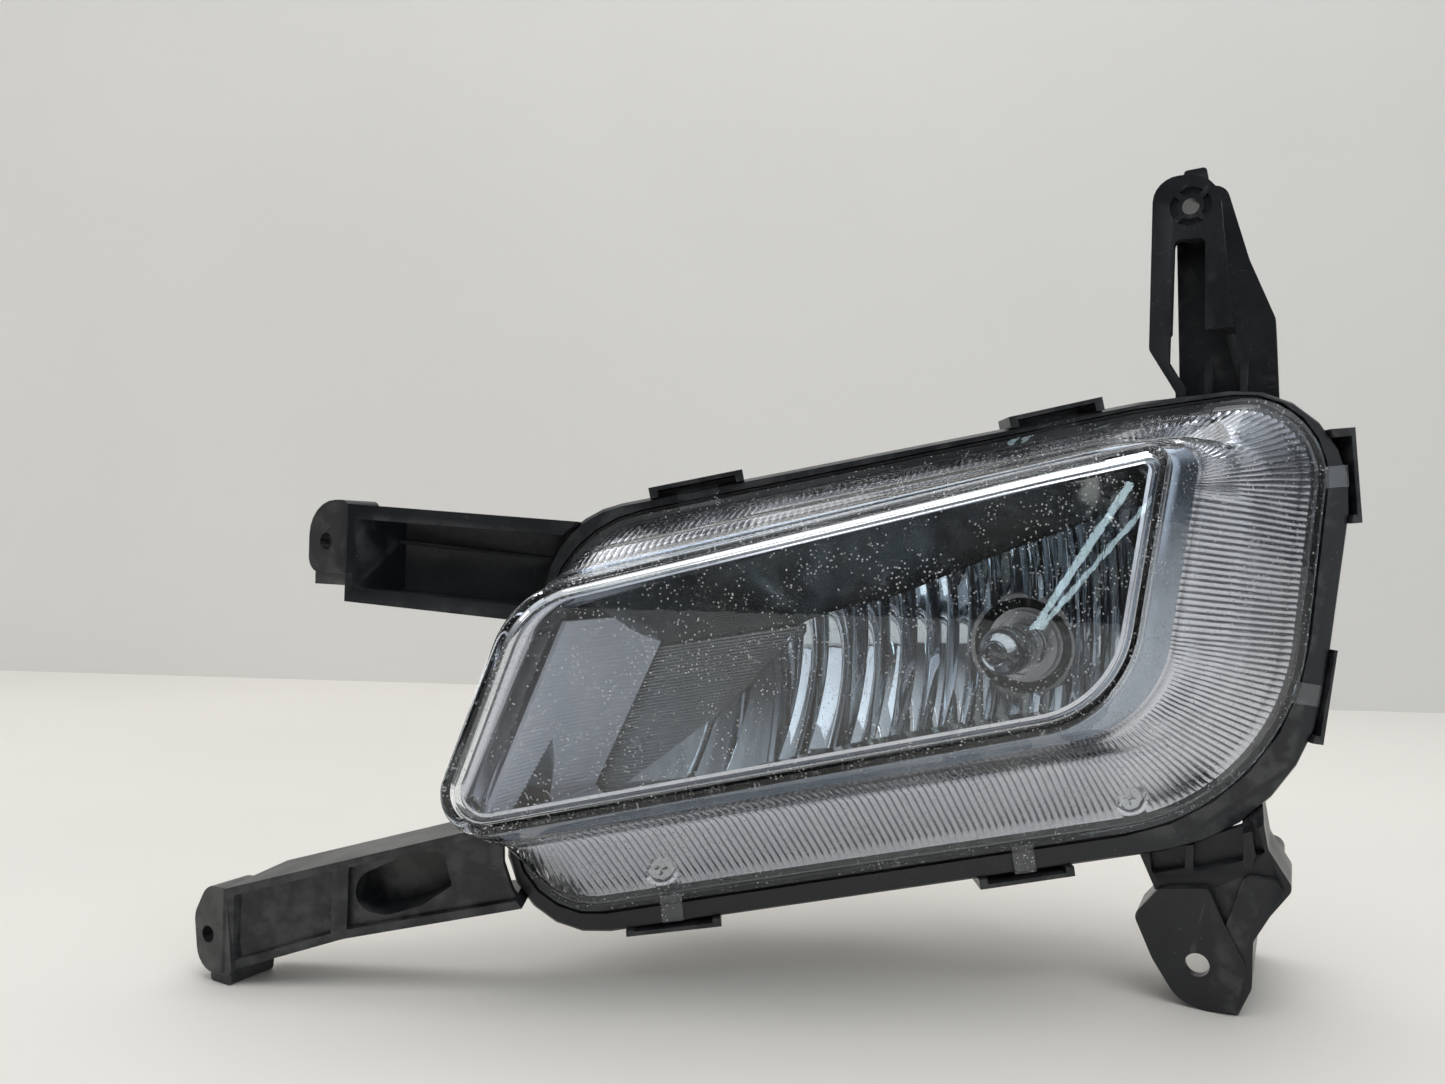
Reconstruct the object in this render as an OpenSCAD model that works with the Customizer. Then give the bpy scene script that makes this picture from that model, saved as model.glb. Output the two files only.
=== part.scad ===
// Corner fog lamp with a halogen bulb, four bracket arms and a reflector that tilts for aiming.
// The origin is the upper outer fixing hole, on its front face. -Y is the light's forward
// direction, +X the outer side of the vehicle and +Z up.

/* [Stance] */
// Sweep of the lens away from straight ahead, in degrees
face_yaw = 28; // [26:1:30]
// Bulb axis to the upper outer fixing hole, sideways
hole_to_bulb_x = 37.5; // [37:0.1:38]
// Bulb axis to the upper outer fixing hole, in height
hole_to_bulb_z = 111; // [110:0.5:112]

/* [Lens] */
// Wall of the clear lens
lens_wall = 1.5; // [1.2:0.1:1.7]
// Depth of the window in front of the bulb's seat, along the face normal
window_depth = 49; // [48:0.5:50]
// Depth of the rim in front of the bulb's seat, along the face normal
rim_depth = 23; // [22.5:0.5:23.5]

/* [Reflector] */
// Focal length of the reflector
focal_length = 15; // [14:0.5:16]
// Wall of the reflector
reflector_wall = 2; // [1.6:0.1:2.2]
// Radius of the opening round the bulb
bulb_opening_r = 12.5; // [12:0.1:13]

/* [Bulb] */
// Radius of the glass capsule
glass_r = 6; // [5:0.25:6.5]
// Radius of the bayonet spigot
spigot_r = 10.15; // [9.8:0.05:10.3]
// Running clearance of turning parts
running_gap = 0.05; // [0.02:0.01:0.1]

/* [Aiming] */
// Radius of the aim screw's shank
screw_r = 2.5; // [2:0.1:2.8]
// Height of the aim screw below the tilt axis
aim_lever = 33; // [32:0.5:34]
// Radius of the reflector's pivot pins
pivot_r = 2; // [1.5:0.1:2.2]

/* [Fixing holes] */
// Radius of the three small screw holes
hole_r = 2; // [1.8:0.1:2.2]
// Radius of the foot's screw hole
foot_hole_r = 2.75; // [2.5:0.05:3]
// Radius of the crush ring round the upper outer hole
crush_ring_r = 4.8; // [4.6:0.1:5]

/* [Hidden] */
$fn = 48;

// The bulb's axis, where it passes the reflector's opening. Every lamp piece is placed from here.
lamp_at = [-hole_to_bulb_x, -0.6, -hole_to_bulb_z];
ground_z = -83;
corner_steps = 6;
far = 400;

// Outlines seen square to the lens, as [across, up, corner radius], clockwise from the lower
// inner corner: lower inner, upper inner, top shoulder, upper outer, lower outer.
window_shape = [[-144, -44, 9], [-125, 12, 22], [-10, 43.2, 60], [19, 50.5, 5], [10.5, -11.6, 27]];
wall_shape = [[-139.8, -47.5, 9], [-121, 15.5, 21], [8, 49, 30], [30.5, 52.5, 7], [21.5, -15, 27]];
step_shape = [[-136, -49.5, 9], [-117, 20, 20], [11, 51, 20], [46, 51, 9], [38.2, -18.2, 32]];
rim_shape = [[-127, -66.5, 16], [-116.5, 24.5, 26], [20, 56.6, 40], [64.8, 64.5, 17], [56.5, -33.5, 50]];
outer_shape = [[-133, -75.5, 22], [-120.8, 29.6, 24], [20, 61.5, 40], [75.5, 70, 26], [63.5, -41, 46]];
opening_shape = [[-134.5, -41, 3], [-116, 9.5, 14], [-50, 29.5, 40], [17.5, 46.5, 4], [9.3, -11.2, 22]];
// The housing's back, seen from straight ahead, and how its plane leans.
back_shape = [[-60, -46, 14], [-58, 26, 14], [0, 43, 30], [46, 52, 16], [42, -28, 28]];
back_y = 10;
back_slope = 0.2;
shell_wall = 2.5;

// Depths of the lens, square to the face.
wall_w = -41;
step_w = -35;
window_w = -window_depth;
rim_w = -rim_depth;
rim_back_w = -11;
groove_w = -16.5;
groove_width = 3.1;

// Places along the bulb's axis.
vertex_y = 2.6;
tilt_y = -6;
seat_y = 14;
seat_thickness = 3;
turret_r = 20;
filament_y = -11;

aim_at = [-36, -aim_lever];
ear_x = 33;
ear_width = 3.5;
post_x = 38.5;
post_width = 4;
post_height = 9;
post_front_y = -10;
pin_length = 10;
aim_boss_r = 6;
aim_boss_y = 6;
aim_seal_y = 5.2;
aim_seal_r = screw_r + 1.05;
clip_y = -1.4;
clip_r = 4.6;
vent_at = [26, 28];
vent_y = 18;
vent_r = 6;

bezel_screw_at = [[-92.2, -53.7], [20, -33.5], [36, 53.5]];
screw_seat_w = -21.2;

upper_inner_hole = [-140.9, -105.5, 22.1];
lower_inner_hole = [-163.2, -117.4, -72.1];
lower_outer_hole = [44.5, -6.9, -72.5];
boss_thickness = 3;

// ---- Outline helpers ----

function unit(v) = v / norm(v);
function outward(p, q) = let (d = unit([q[0] - p[0], q[1] - p[1]])) [-d[1], d[0]];
function normal_in(s, i) = outward(s[(i + len(s) - 1) % len(s)], s[i]);
function normal_out(s, i) = outward(s[i], s[(i + 1) % len(s)]);
function miter(s, i) =
    let (a = normal_in(s, i), b = normal_out(s, i)) (a + b) / (1 + a * b);

// 1 at a corner that points outward, -1 at one that points inward.
function bend(s, i) = cross(normal_in(s, i), normal_out(s, i)) > 0 ? -1 : 1;

// The same outline, moved outward by d.
function grown(s, d) = [
    for (i = [0 : len(s) - 1])
        let (m = miter(s, i))
            [s[i][0] + d * m[0], s[i][1] + d * m[1], max(s[i][2] + bend(s, i) * d, 0.6)]
];

// Points of a rounded outline: every corner gives the same number, so outlines can be joined.
function rounded(s) = [
    for (i = [0 : len(s) - 1])
        let (
            m = miter(s, i),
            r = bend(s, i) * s[i][2],
            a = normal_in(s, i),
            b = normal_out(s, i),
            start = atan2(a[1], a[0]),
            turn = -bend(s, i) * acos(min(1, a * b))
        )
            for (k = [0 : corner_steps])
                let (t = start + turn * k / corner_steps)
                    [s[i][0] - r * m[0] + r * cos(t), s[i][1] - r * m[1] + r * sin(t)]
];

// A ring of points at depth w, square to the face, in the lamp's own directions.
function ring(s, w) = [
    for (p = rounded(s))
        [cos(face_yaw) * p[0] - sin(face_yaw) * w, sin(face_yaw) * p[0] + cos(face_yaw) * w, p[1]]
];

// A ring on the housing's leaning back plane, and one part of the way between two rings.
function back_ring(s, y) = [for (p = rounded(s)) [p[0], y + back_slope * p[0], p[1]]];
function between(a, b, across, deep) = [
    for (i = [0 : len(a) - 1])
        [
            a[i][0] + (b[i][0] - a[i][0]) * across,
            a[i][1] + (b[i][1] - a[i][1]) * deep,
            a[i][2] + (b[i][2] - a[i][2]) * across
        ]
];

// A solid whose surface runs through the rings in turn. It is capped at both ends, or joined
// back to its first ring when it is a loop.
module skin(rings, loop = false) {
    n = len(rings[0]);
    m = len(rings);
    spans = loop ? m : m - 1;
    sides = [
        for (j = [0 : spans - 1], i = [0 : n - 1])
            let (a = j * n + i, b = j * n + (i + 1) % n, c = ((j + 1) % m) * n)
                each [[a, b, c + (i + 1) % n], [a, c + (i + 1) % n, c + i]]
    ];
    caps = loop ? [] : [[for (i = [n - 1 : -1 : 0]) i], [for (i = [0 : n - 1]) (m - 1) * n + i]];
    polyhedron(points = [for (r = rings) each r], faces = concat(sides, caps), convexity = 8);
}

// ---- Placement helpers ----

module in_lamp() translate(lamp_at) children();

// Local X runs across the face, Y square into it and Z up.
module in_face() in_lamp() rotate([0, 0, face_yaw]) children();

// Children drawn along +Z run straight back along the lamp's +Y from the given y.
module back_from(x, y, z) in_lamp() translate([x, y, z]) rotate([-90, 0, 0]) children();

// An upright outline in X and Z, pushed back by a depth from y.
module upright(s, y, depth) translate([0, y + depth, 0]) rotate([90, 0, 0])
    linear_extrude(depth) polygon(rounded(s));

// A round hole or rod along Y, starting at y.
module rod_y(at, y, length, r) translate([at[0], y, at[1]]) rotate([-90, 0, 0])
    cylinder(h = length, r = r);

// ---- Housing ----

module bowl_outside(extra) skin([
    back_ring(grown(back_shape, -2), back_y + extra),
    back_ring(back_shape, back_y - 2),
    between(ring(grown(rim_shape, 0.7), rim_back_w), back_ring(back_shape, back_y - 2), 0.45, 0.75),
    ring(grown(rim_shape, 0.7), rim_back_w),
    ring(grown(rim_shape, -0.1), -19)
]);

module housing_shell() {
    inside_back = grown(back_shape, -shell_wall);
    inside_y = back_y - shell_wall;
    skin([
        back_ring(grown(back_shape, -2), back_y),
        back_ring(back_shape, back_y - 2),
        between(ring(grown(rim_shape, 0.7), rim_back_w), back_ring(back_shape, back_y - 2), 0.45, 0.75),
        ring(grown(rim_shape, 0.7), rim_back_w),
        ring(outer_shape, rim_back_w),
        ring(outer_shape, rim_w + 1),
        ring(grown(outer_shape, -0.7), rim_w),
        ring(grown(rim_shape, groove_width + 0.2), rim_w),
        ring(grown(rim_shape, groove_width), groove_w),
        ring(rim_shape, groove_w),
        ring(grown(rim_shape, -0.1), -20.5),
        ring(grown(rim_shape, -1.7), -20.5),
        ring(grown(rim_shape, -1.8), rim_back_w),
        between(ring(grown(rim_shape, -1.8), rim_back_w), back_ring(inside_back, inside_y), 0.45, 0.75),
        back_ring(inside_back, inside_y)
    ]);
}

// A loop on the rim that holds one lens tab. It lies along the rim at the given slope.
loop_length = 23;
loop_reach = 3.2;
loop_bar = 2;
loop_root = 2.6;
loop_front = 1.5;
loop_depth = 10;
module snap_loop(at, slope) in_face() translate([at[0], rim_w - loop_front, at[1]])
    rotate([0, -slope, 0]) difference() {
        translate([-loop_length / 2, 0, -loop_root])
            cube([loop_length, loop_depth, loop_reach + loop_root]);
        translate([-loop_length / 2 + loop_bar, -1, -loop_root - 1])
            cube([loop_length - 2 * loop_bar, loop_depth - 0.5, loop_reach + loop_root + 1 - loop_bar / 2]);
    }

// Each loop's place and slope on the rim, and how far in its lens tab starts.
loop_places = [
    [-86, 36.6, 13, 3.6], [0, 56.4, 14, 4], [69.4, 45, -84, 6], [64.2, -8, -97, 5.7],
    [-4.5, -51.8, 190, 6.4], [-89, -66, 188, 6.4]
];

module housing() color([0.07, 0.07, 0.075]) difference() {
    union() {
        in_lamp() housing_shell();
        for (p = loop_places) difference() {
            snap_loop([p[0], p[1]], p[2]);
            in_face() rotate([90, 0, 0]) translate([0, 0, -far / 2])
                linear_extrude(far) polygon(rounded(grown(outer_shape, -0.3)));
        }
        // Turret that holds the bulb's seat
        back_from(0, 4, 0) cylinder(h = seat_y - 4, r = turret_r);
        // Boss of the aim screw
        back_from(aim_at[0], 0, aim_at[1]) cylinder(h = aim_boss_y, r = aim_boss_r);
        // Posts of the pivot pins, which end inside the leaning back
        for (side = [-1, 1]) in_lamp()
            translate([side > 0 ? post_x : -post_x - post_width, post_front_y, -post_height / 2])
                cube([post_width, back_y + back_slope * side * post_x - 1 - post_front_y, post_height]);
        // Posts under the bezel screws
        in_lamp() intersection() {
            bowl_outside(-1);
            rotate([0, 0, face_yaw]) for (p = bezel_screw_at)
                rod_y(p, screw_seat_w + 2.4, far, 3.5);
        }
        // Collar of the vent
        back_from(vent_at[0], 8, vent_at[1]) cylinder(h = vent_y - 8, r = vent_r);
    }
    back_from(0, 3, 0) cylinder(h = seat_y - seat_thickness - 3, r = turret_r - shell_wall - 0.5);
    back_from(0, seat_y, 0) cylinder(h = 20, r = turret_r + 0.5);
    back_from(0, 0, 0) cylinder(h = 30, r = spigot_r + running_gap);
    for (a = [0 : 120 : 240]) back_from(0, 10, 0) bayonet_sector(a + bayonet_turn, 34, 12.4, 10);
    back_from(aim_at[0], -5, aim_at[1]) cylinder(h = 20, r = screw_r + running_gap);
    // Spot face for the clip and counterbore for the O-ring
    back_from(aim_at[0], -5, aim_at[1]) cylinder(h = 5, r = clip_r + 0.6);
    back_from(aim_at[0], aim_seal_y - 1, aim_at[1]) cylinder(h = 10, r = aim_seal_r + 1);
    for (side = [-1, 1]) in_lamp() translate([side * (post_x - 1), tilt_y, 0])
        rotate([0, side * 90, 0]) cylinder(h = post_width + 2, r = pivot_r + 0.02);
    in_face() for (p = bezel_screw_at) rod_y(p, screw_seat_w + 1, 9, 1.3);
    back_from(vent_at[0], 0, vent_at[1]) cylinder(h = 30, r = 2);
    back_from(vent_at[0], vent_y - 2, vent_at[1]) cylinder(h = 3, r = 4.5);
}

// ---- Bracket arms ----

// Everything inside the rim's outline and its groove, which the arms stop against.
module rim_block() in_face() rotate([90, 0, 0]) translate([0, 0, -far / 2]) linear_extrude(far) {
    polygon(rounded(outer_shape));
    polygon(rounded(grown(rim_shape, groove_width + 0.2)));
}

// Everything on the outer side of x, in the lamp's own directions.
module outward_of(x) in_lamp() translate([x, -far / 2, -far / 2]) cube([far, far, far]);

// A moulded ear round a fixing hole: a front plate with a skirt behind its edge.
module ear(outline, y, depth) in_lamp() difference() {
    upright(outline, y, depth);
    upright(grown(outline, -2.2), y + boss_thickness, depth);
}

module arm_upper_inner() color([0.06, 0.06, 0.065]) difference() {
    channel = [[-176, 8.8, 1], [-174, 31.4, 1.5], [-100, 27.8, 2], [-100, 2.5, 2]];
    cap = [[-146.6, 14.5, 4], [-146.6, 32, 8.5], [-134, 32, 2], [-134, 14.5, 1]];
    hole_y = upper_inner_hole[1];
    end_x = -134.4;
    union() {
        intersection() {
            in_face() difference() {
                upright(channel, -30, 17);
                upright(grown(channel, -3.4), -31, 15.2);
            }
            outward_of(end_x);
        }
        // Wall that closes the channel beside the ear
        difference() {
            intersection() {
                in_face() upright(channel, -30, 17);
                outward_of(end_x);
            }
            outward_of(end_x + 2.2);
        }
        // Faint rib along the web
        in_face() translate([-163, -17.4, 22.2]) rotate([0, 5, 0]) cube([46, 2, 1]);
        ear(cap, hole_y, 10);
        in_lamp() translate([-144.6, hole_y + 0.4, 11.9]) cube([12, 3, 2.8]);
    }
    rim_block();
    in_lamp() rod_y([upper_inner_hole[0], upper_inner_hole[2]], hole_y - 1, boss_thickness + 2, hole_r);
}

module arm_lower_inner() color([0.06, 0.06, 0.065]) difference() {
    channel = [[-200, -81.8, 1.5], [-200, -61.8, 2], [-145.5, -47, 8], [-118, -40, 3], [-115, -61, 3],
        [-166, -71.2, 20]];
    cup = [[-165.5, -64.5, 5], [-163, -56.5, 5], [-151, -51, 4], [-143.5, -50.5, 1.5], [-141.3, -58.5, 1],
        [-148.5, -63.5, 5], [-156.5, -66, 6]];
    cap = [[-166.4, -80.8, 6], [-168.2, -68, 5], [-164, -60.3, 5], [-157.3, -60.3, 1], [-154.4, -80.8, 2]];
    // Rib across the front
    cross_rib = [[-169, -71, 0.7], [-169, -54.6, 0.7], [-165.3, -53.6, 0.7], [-165.3, -70.4, 0.7]];
    hole_y = lower_inner_hole[1];
    end_x = -157.6;
    union() {
        intersection() {
            outward_of(end_x);
            in_face() union() {
                difference() {
                    upright(channel, -30, 16);
                    upright(grown(channel, -2), -31, 2.8);
                    upright(grown(channel, -2.6), -25.8, 13);
                }
                upright(cross_rib, -30, 3);
                upright(grown(cup, 2), -28.2, 12.2);
            }
        }
        // Wall that closes the channel beside the ear
        difference() {
            intersection() {
                in_face() upright(channel, -30, 16);
                outward_of(end_x);
            }
            outward_of(end_x + 2.2);
        }
        ear(cap, hole_y, 10);
        // Pad that rests on the ground
        in_lamp() upright(
            [[-162.5, ground_z, 1], [-162.5, -79, 1], [-155, -78, 1], [-155.5, ground_z, 1]],
            hole_y + 0.6, 12
        );
    }
    rim_block();
    in_lamp() rod_y([lower_inner_hole[0], lower_inner_hole[2]], hole_y - 1, boss_thickness + 2, hole_r);
    in_face() upright(cup, -31, 13);
}

module arm_upper_outer() color([0.06, 0.06, 0.065]) difference() {
    plate = [[35.5, 50, 2], [35.3, 65, 2], [28.8, 76, 3], [28.6, 119, 6], [43.5, 119, 8], [47.6, 82, 2],
        [57, 50, 2]];
    foot_gap = [[38, 55, 1], [37.6, 66, 2], [33.6, 72, 1], [33.6, 80, 1], [48, 80.6, 1], [60, 66, 1],
        [60, 55, 1]];
    web = [[36, 50, 2], [33, 118, 6], [44.6, 119, 4], [50.6, 99, 8], [56.8, 84, 4], [59, 50, 2]];
    union() {
        // Ribs that stand on the web at the open foot
        in_lamp() for (x = [41.5, 49.5]) translate([x, 5, 56]) cube([1.8, 7, 17]);
        in_lamp() difference() {
            union() {
                upright(plate, 0.6, 3);
                difference() {
                    upright(plate, 3, 9);
                    upright(grown(plate, -2.5), 2, 12);
                }
                upright(web, 11, 2.5);
                difference() {
                    upright(web, 13, 9);
                    upright(grown(web, -2.5), 12, 12);
                }
                rod_y([hole_to_bulb_x, hole_to_bulb_z], 0.6, 10.5, 6.5);
                // Tab on the top edge
                upright([[35.2, 117, 0.5], [35.8, 120.2, 0.8], [40.8, 120.6, 1], [41.4, 117, 0.5]], 1.4, 5);
            }
            // Slot down the front plate, and the open foot below it
            upright([[34, 79, 1], [34, 103, 1.5], [41, 103, 1.5], [41.6, 79, 1]], 0, 8);
            upright(foot_gap, 0, 10);
            // Crush ring: a shallow counterbore crossed by four slots
            difference() {
                rod_y([hole_to_bulb_x, hole_to_bulb_z], 0, 1.6, crush_ring_r);
                rod_y([hole_to_bulb_x, hole_to_bulb_z], 0, 3, crush_ring_r - 1.7);
                for (a = [45, 135]) translate([hole_to_bulb_x, 0.6, hole_to_bulb_z])
                    rotate([0, a, 0]) translate([-6, 0, -0.7]) cube([12, 2, 1.4]);
            }
            rod_y([hole_to_bulb_x, hole_to_bulb_z], -1, 30, hole_r);
            // The web is open behind the hole
            rod_y([hole_to_bulb_x, hole_to_bulb_z], 3.6, 30, 4);
        }
    }
    rim_block();
}

module arm_lower_outer() color([0.06, 0.06, 0.065]) difference() {
    toe = [[30, -63.2, 2.5], [35.4, -56, 3], [46.5, -54, 1.5], [50.2, -62, 6], [55.3, -71, 5],
        [53.2, -82.2, 4], [47, ground_z, 5], [40.5, -81.8, 8], [34.5, -73, 12]];
    strap = [[35, -58.5, 2], [30.6, -49, 2], [31.5, -40, 2], [40, -28, 2], [56, -28, 2],
        [58.8, -43.5, 3], [64.4, -52, 2.5], [55.4, -65.5, 3], [46, -60, 3]];
    heel = [[50.5, ground_z, 1], [50.5, -62, 2], [54, -50, 2], [64, -50, 3], [56.3, -65, 2],
        [56.3, -76, 3], [53.5, ground_z, 1]];
    side_gap = [[33.6, -53.5, 0.6], [32.8, -48.5, 0.6], [33, -42, 0.6], [41, -42, 0.6], [41, -51, 0.6]];
    toe_y = lower_outer_hole[1];
    in_lamp() difference() {
        union() {
            upright(toe, toe_y, boss_thickness);
            difference() {
                upright(toe, toe_y, 15);
                upright(grown(toe, -2.4), toe_y + boss_thickness, 20);
            }
            difference() {
                upright(strap, toe_y + 3.4, 21);
                upright(grown(strap, -2.4), toe_y + 9, 20);
            }
            upright([[53.7, -54, 0.5], [52.8, -36, 0.5], [55, -36, 0.5], [56.3, -54, 0.5]], toe_y + 6, 18);
            upright([[41, -56, 0.5], [41, -34, 0.5], [42.8, -34, 0.5], [42.8, -56, 0.5]], toe_y + 6, 18);
            upright(heel, toe_y + 1, 47);
        }
        // Recesses beside and between the ribs
        upright([[42.8, -51.5, 0.6], [42.8, -38, 0.6], [53.2, -36, 0.6], [53.7, -47, 0.6]], -10, 10.4);
        upright(side_gap, -10, 10.4);
        upright([[56.2, -45.5, 0.6], [55, -38, 0.6], [56.4, -38, 0.6], [58.2, -44.5, 0.6]], -10, 10.4);
        rod_y([lower_outer_hole[0], lower_outer_hole[2]], -20, 30, foot_hole_r);
    }
    rim_block();
}

// ---- Lens, seal and bezel ----

tab_width = 10;
module lens() color([0.85, 0.9, 0.95, 0.4]) union() {
    t = lens_wall;
    in_lamp() skin([
        ring(grown(window_shape, -t - 1.2), window_w + t + 0.2),
        ring(grown(window_shape, -t), window_w + t + 0.8),
        ring(grown(wall_shape, -t), wall_w + t),
        ring(grown(step_shape, -t), step_w + t),
        ring(grown(rim_shape, 0.4 - t), rim_w - 1.2 + t),
        ring(grown(rim_shape, 0.4), rim_w + 0.8),
        ring(grown(rim_shape, 0.4), groove_w - 2.2),
        ring(grown(rim_shape, 2.2), groove_w - 2.2),
        ring(grown(rim_shape, 2.2), rim_w - 0.8),
        ring(grown(rim_shape, 0.3), rim_w - 1.2),
        ring(step_shape, step_w),
        ring(wall_shape, wall_w),
        ring(grown(window_shape, 0.4), window_w + 0.8),
        ring(grown(window_shape, -0.6), window_w)
    ]);
    for (p = loop_places) in_face() translate([p[0], 0, p[1]]) rotate([0, -p[2], 0])
        translate([-tab_width / 2, rim_w - 1, -p[3]]) cube([tab_width, 0.85, p[3] + 1]);
}

module lens_sealant() color([0.03, 0.03, 0.03]) in_lamp() skin([
    ring(grown(rim_shape, 3), groove_w - 0.1),
    ring(grown(rim_shape, 3), rim_w + 1),
    ring(grown(rim_shape, 2.4), rim_w + 1),
    ring(grown(rim_shape, 2.4), groove_w - 2),
    ring(grown(rim_shape, 0.1), groove_w - 2),
    ring(grown(rim_shape, 0.1), groove_w - 0.1)
], loop = true);

bezel_wall = 1.2;
bezel_gap = 2.9;
cup_r = 4.4;
module inner_bezel() color([0.75, 0.76, 0.78]) difference() {
    union() {
        in_lamp() skin([
            ring(grown(opening_shape, 0.4), -38.2),
            ring(grown(wall_shape, -bezel_gap - 1.5), wall_w + bezel_gap + 0.2 + bezel_wall),
            ring(grown(step_shape, -bezel_gap - bezel_wall), step_w + bezel_gap + 0.2 + bezel_wall),
            ring(grown(rim_shape, -2.6 - bezel_wall), -21),
            ring(grown(rim_shape, -2.6 - bezel_wall), -19),
            ring(grown(rim_shape, -2.6), -19),
            ring(grown(rim_shape, -2.6), -21.8),
            ring(grown(step_shape, -bezel_gap), step_w + bezel_gap + 0.2),
            ring(grown(wall_shape, -bezel_gap), wall_w + bezel_gap + 0.2),
            ring(grown(window_shape, -3.6), window_w + 4.4),
            ring(opening_shape, -39.5)
        ], loop = true);
        // Cups that take the screws, no higher than the frame round them
        intersection() {
            in_face() for (p = bezel_screw_at) rod_y(p, screw_seat_w - 10, 11.5, cup_r);
            in_lamp() skin([
                ring(grown(rim_shape, -2.6), -19),
                ring(grown(rim_shape, -2.6), -21.8),
                ring(grown(step_shape, -bezel_gap), step_w + bezel_gap + 0.2)
            ]);
        }
    }
    in_face() for (p = bezel_screw_at) {
        rod_y(p, screw_seat_w - 20, 20, cup_r - 1);
        rod_y(p, screw_seat_w - 2, 10, 1.7);
    }
}

// Bright panel that runs straight back from the opening's inner edge to the wing. Its foot stops
// in front of the bezel's flange.
panel_foot_z = -18;
module side_panel() color([0.8, 0.81, 0.83]) in_lamp() difference() {
    translate([0, -40, 0]) rotate([90, 0, 0]) linear_extrude(60)
        polygon([[-100.5, -40], [-85.2, 6], [-83.7, 6], [-99, -40]]);
    rotate([0, 0, face_yaw]) translate([-far, -far - 37.6, -far / 2]) cube([2 * far, far, far]);
    difference() {
        translate([-far, -far / 2, -far / 2]) cube([2 * far, far, far]);
        in_front_of_wing(-2.4);
    }
    above_roof(-3.8, far / 2);
    rotate([0, 0, face_yaw]) translate([-far, rim_w + 0.8, panel_foot_z - far])
        cube([2 * far, far, far]);
}

module bezel_screws() color([0.6, 0.6, 0.62]) in_face() for (p = bezel_screw_at) difference() {
    union() {
        rod_y(p, screw_seat_w - 2, 2, 2.7);
        rod_y(p, screw_seat_w - 0.1, 9, 1.25);
    }
    for (a = [0, 90]) translate([p[0], screw_seat_w - 2.1, p[1]]) rotate([0, a, 0])
        translate([-1.6, 0, -0.3]) cube([3.2, 1, 0.6]);
}

// ---- Reflector ----

// Corners of the reflector seen from straight ahead, as [x, z], and of the wing at its inner end.
refl_low_inner = [-93, -38.2];
refl_top_inner = [-80, 7];
refl_top_outer = [32.5, 43];
refl_low_outer = [32.5, -11];
bowl_edge_top = [-46, 9];
bowl_edge_low = [-57.5, -30.5];
wing_low_inner = [-94, -38.6];
wing_top_inner = [-85, -2];
refl_front_w = -35;
floor_front_w = -31;
outline_margin = 8;

// The flat roof and the flat wing: height or depth at the axis, then slopes across and away.
roof_z = 22.2;
roof_across = 0.443;
roof_deep = -0.29;
wing_y = -23.9;
wing_across = 0.2685;
wing_up = 0.188;

function bowl_y(r) = vertex_y - r * r / (4 * focal_length);

// Everything in front of the bowl's face moved back by a distance.
module in_front_of_bowl(behind) {
    steps = 16;
    reach = 112;
    rotate([90, 0, 0]) rotate_extrude() polygon(concat(
        [for (k = [0 : steps]) let (r = reach * k / steps) [r, -bowl_y(r) - behind]],
        [[reach, 230], [0, 230]]
    ));
}

// Everything in front of the wing's face moved back by a distance.
module in_front_of_wing(behind) translate([0, wing_y, 0])
    rotate([-asin(wing_up / norm([wing_across, 1, wing_up])), 0, atan(wing_across)])
        translate([-far, behind - far, -far / 2]) cube([2 * far, far, far]);

// Everything between two distances above the roof's face.
module above_roof(low, high) translate([0, 0, roof_z])
    rotate([asin(roof_deep / norm([roof_across, roof_deep, 1])), -atan(roof_across), 0])
        translate([-far / 2, -far / 2, low]) cube([far, far, high - low]);

// Everything behind a depth square to the face.
module behind_face(w) rotate([0, 0, face_yaw]) translate([-far, w, -far / 2]) cube([2 * far, far, far]);

// A flat-sided column that runs along Y over the whole lamp.
module column(s) translate([0, 40, 0]) rotate([90, 0, 0]) linear_extrude(160) polygon(s);

module bowl_column(up) column([
    bowl_edge_low, bowl_edge_top, bowl_edge_top + [0, up], refl_top_outer + [0, up], refl_low_outer
]);
module wing_column() column([
    wing_low_inner, wing_top_inner, wing_top_inner + [0, outline_margin],
    bowl_edge_top + [1, outline_margin], bowl_edge_top + [1, 0], bowl_edge_low + [1, 0]
]);

// A flat wall along one edge of the reflector.
module refl_wall(a, b, thickness) {
    d = unit(b - a);
    out = [-d[1], d[0]];
    column([a - 0.5 * out, b - 0.5 * out, b + thickness * out, a + thickness * out]);
}

// The space the reflector's pieces share: in front of their backs and behind the bezel.
module bowl_room(up) intersection() {
    in_front_of_bowl(reflector_wall);
    bowl_column(up);
    behind_face(refl_front_w);
    above_roof(-far / 2, reflector_wall);
}
module wing_room() intersection() {
    in_front_of_wing(reflector_wall);
    wing_column();
    behind_face(refl_front_w);
    above_roof(-far / 2, reflector_wall);
}

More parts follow.
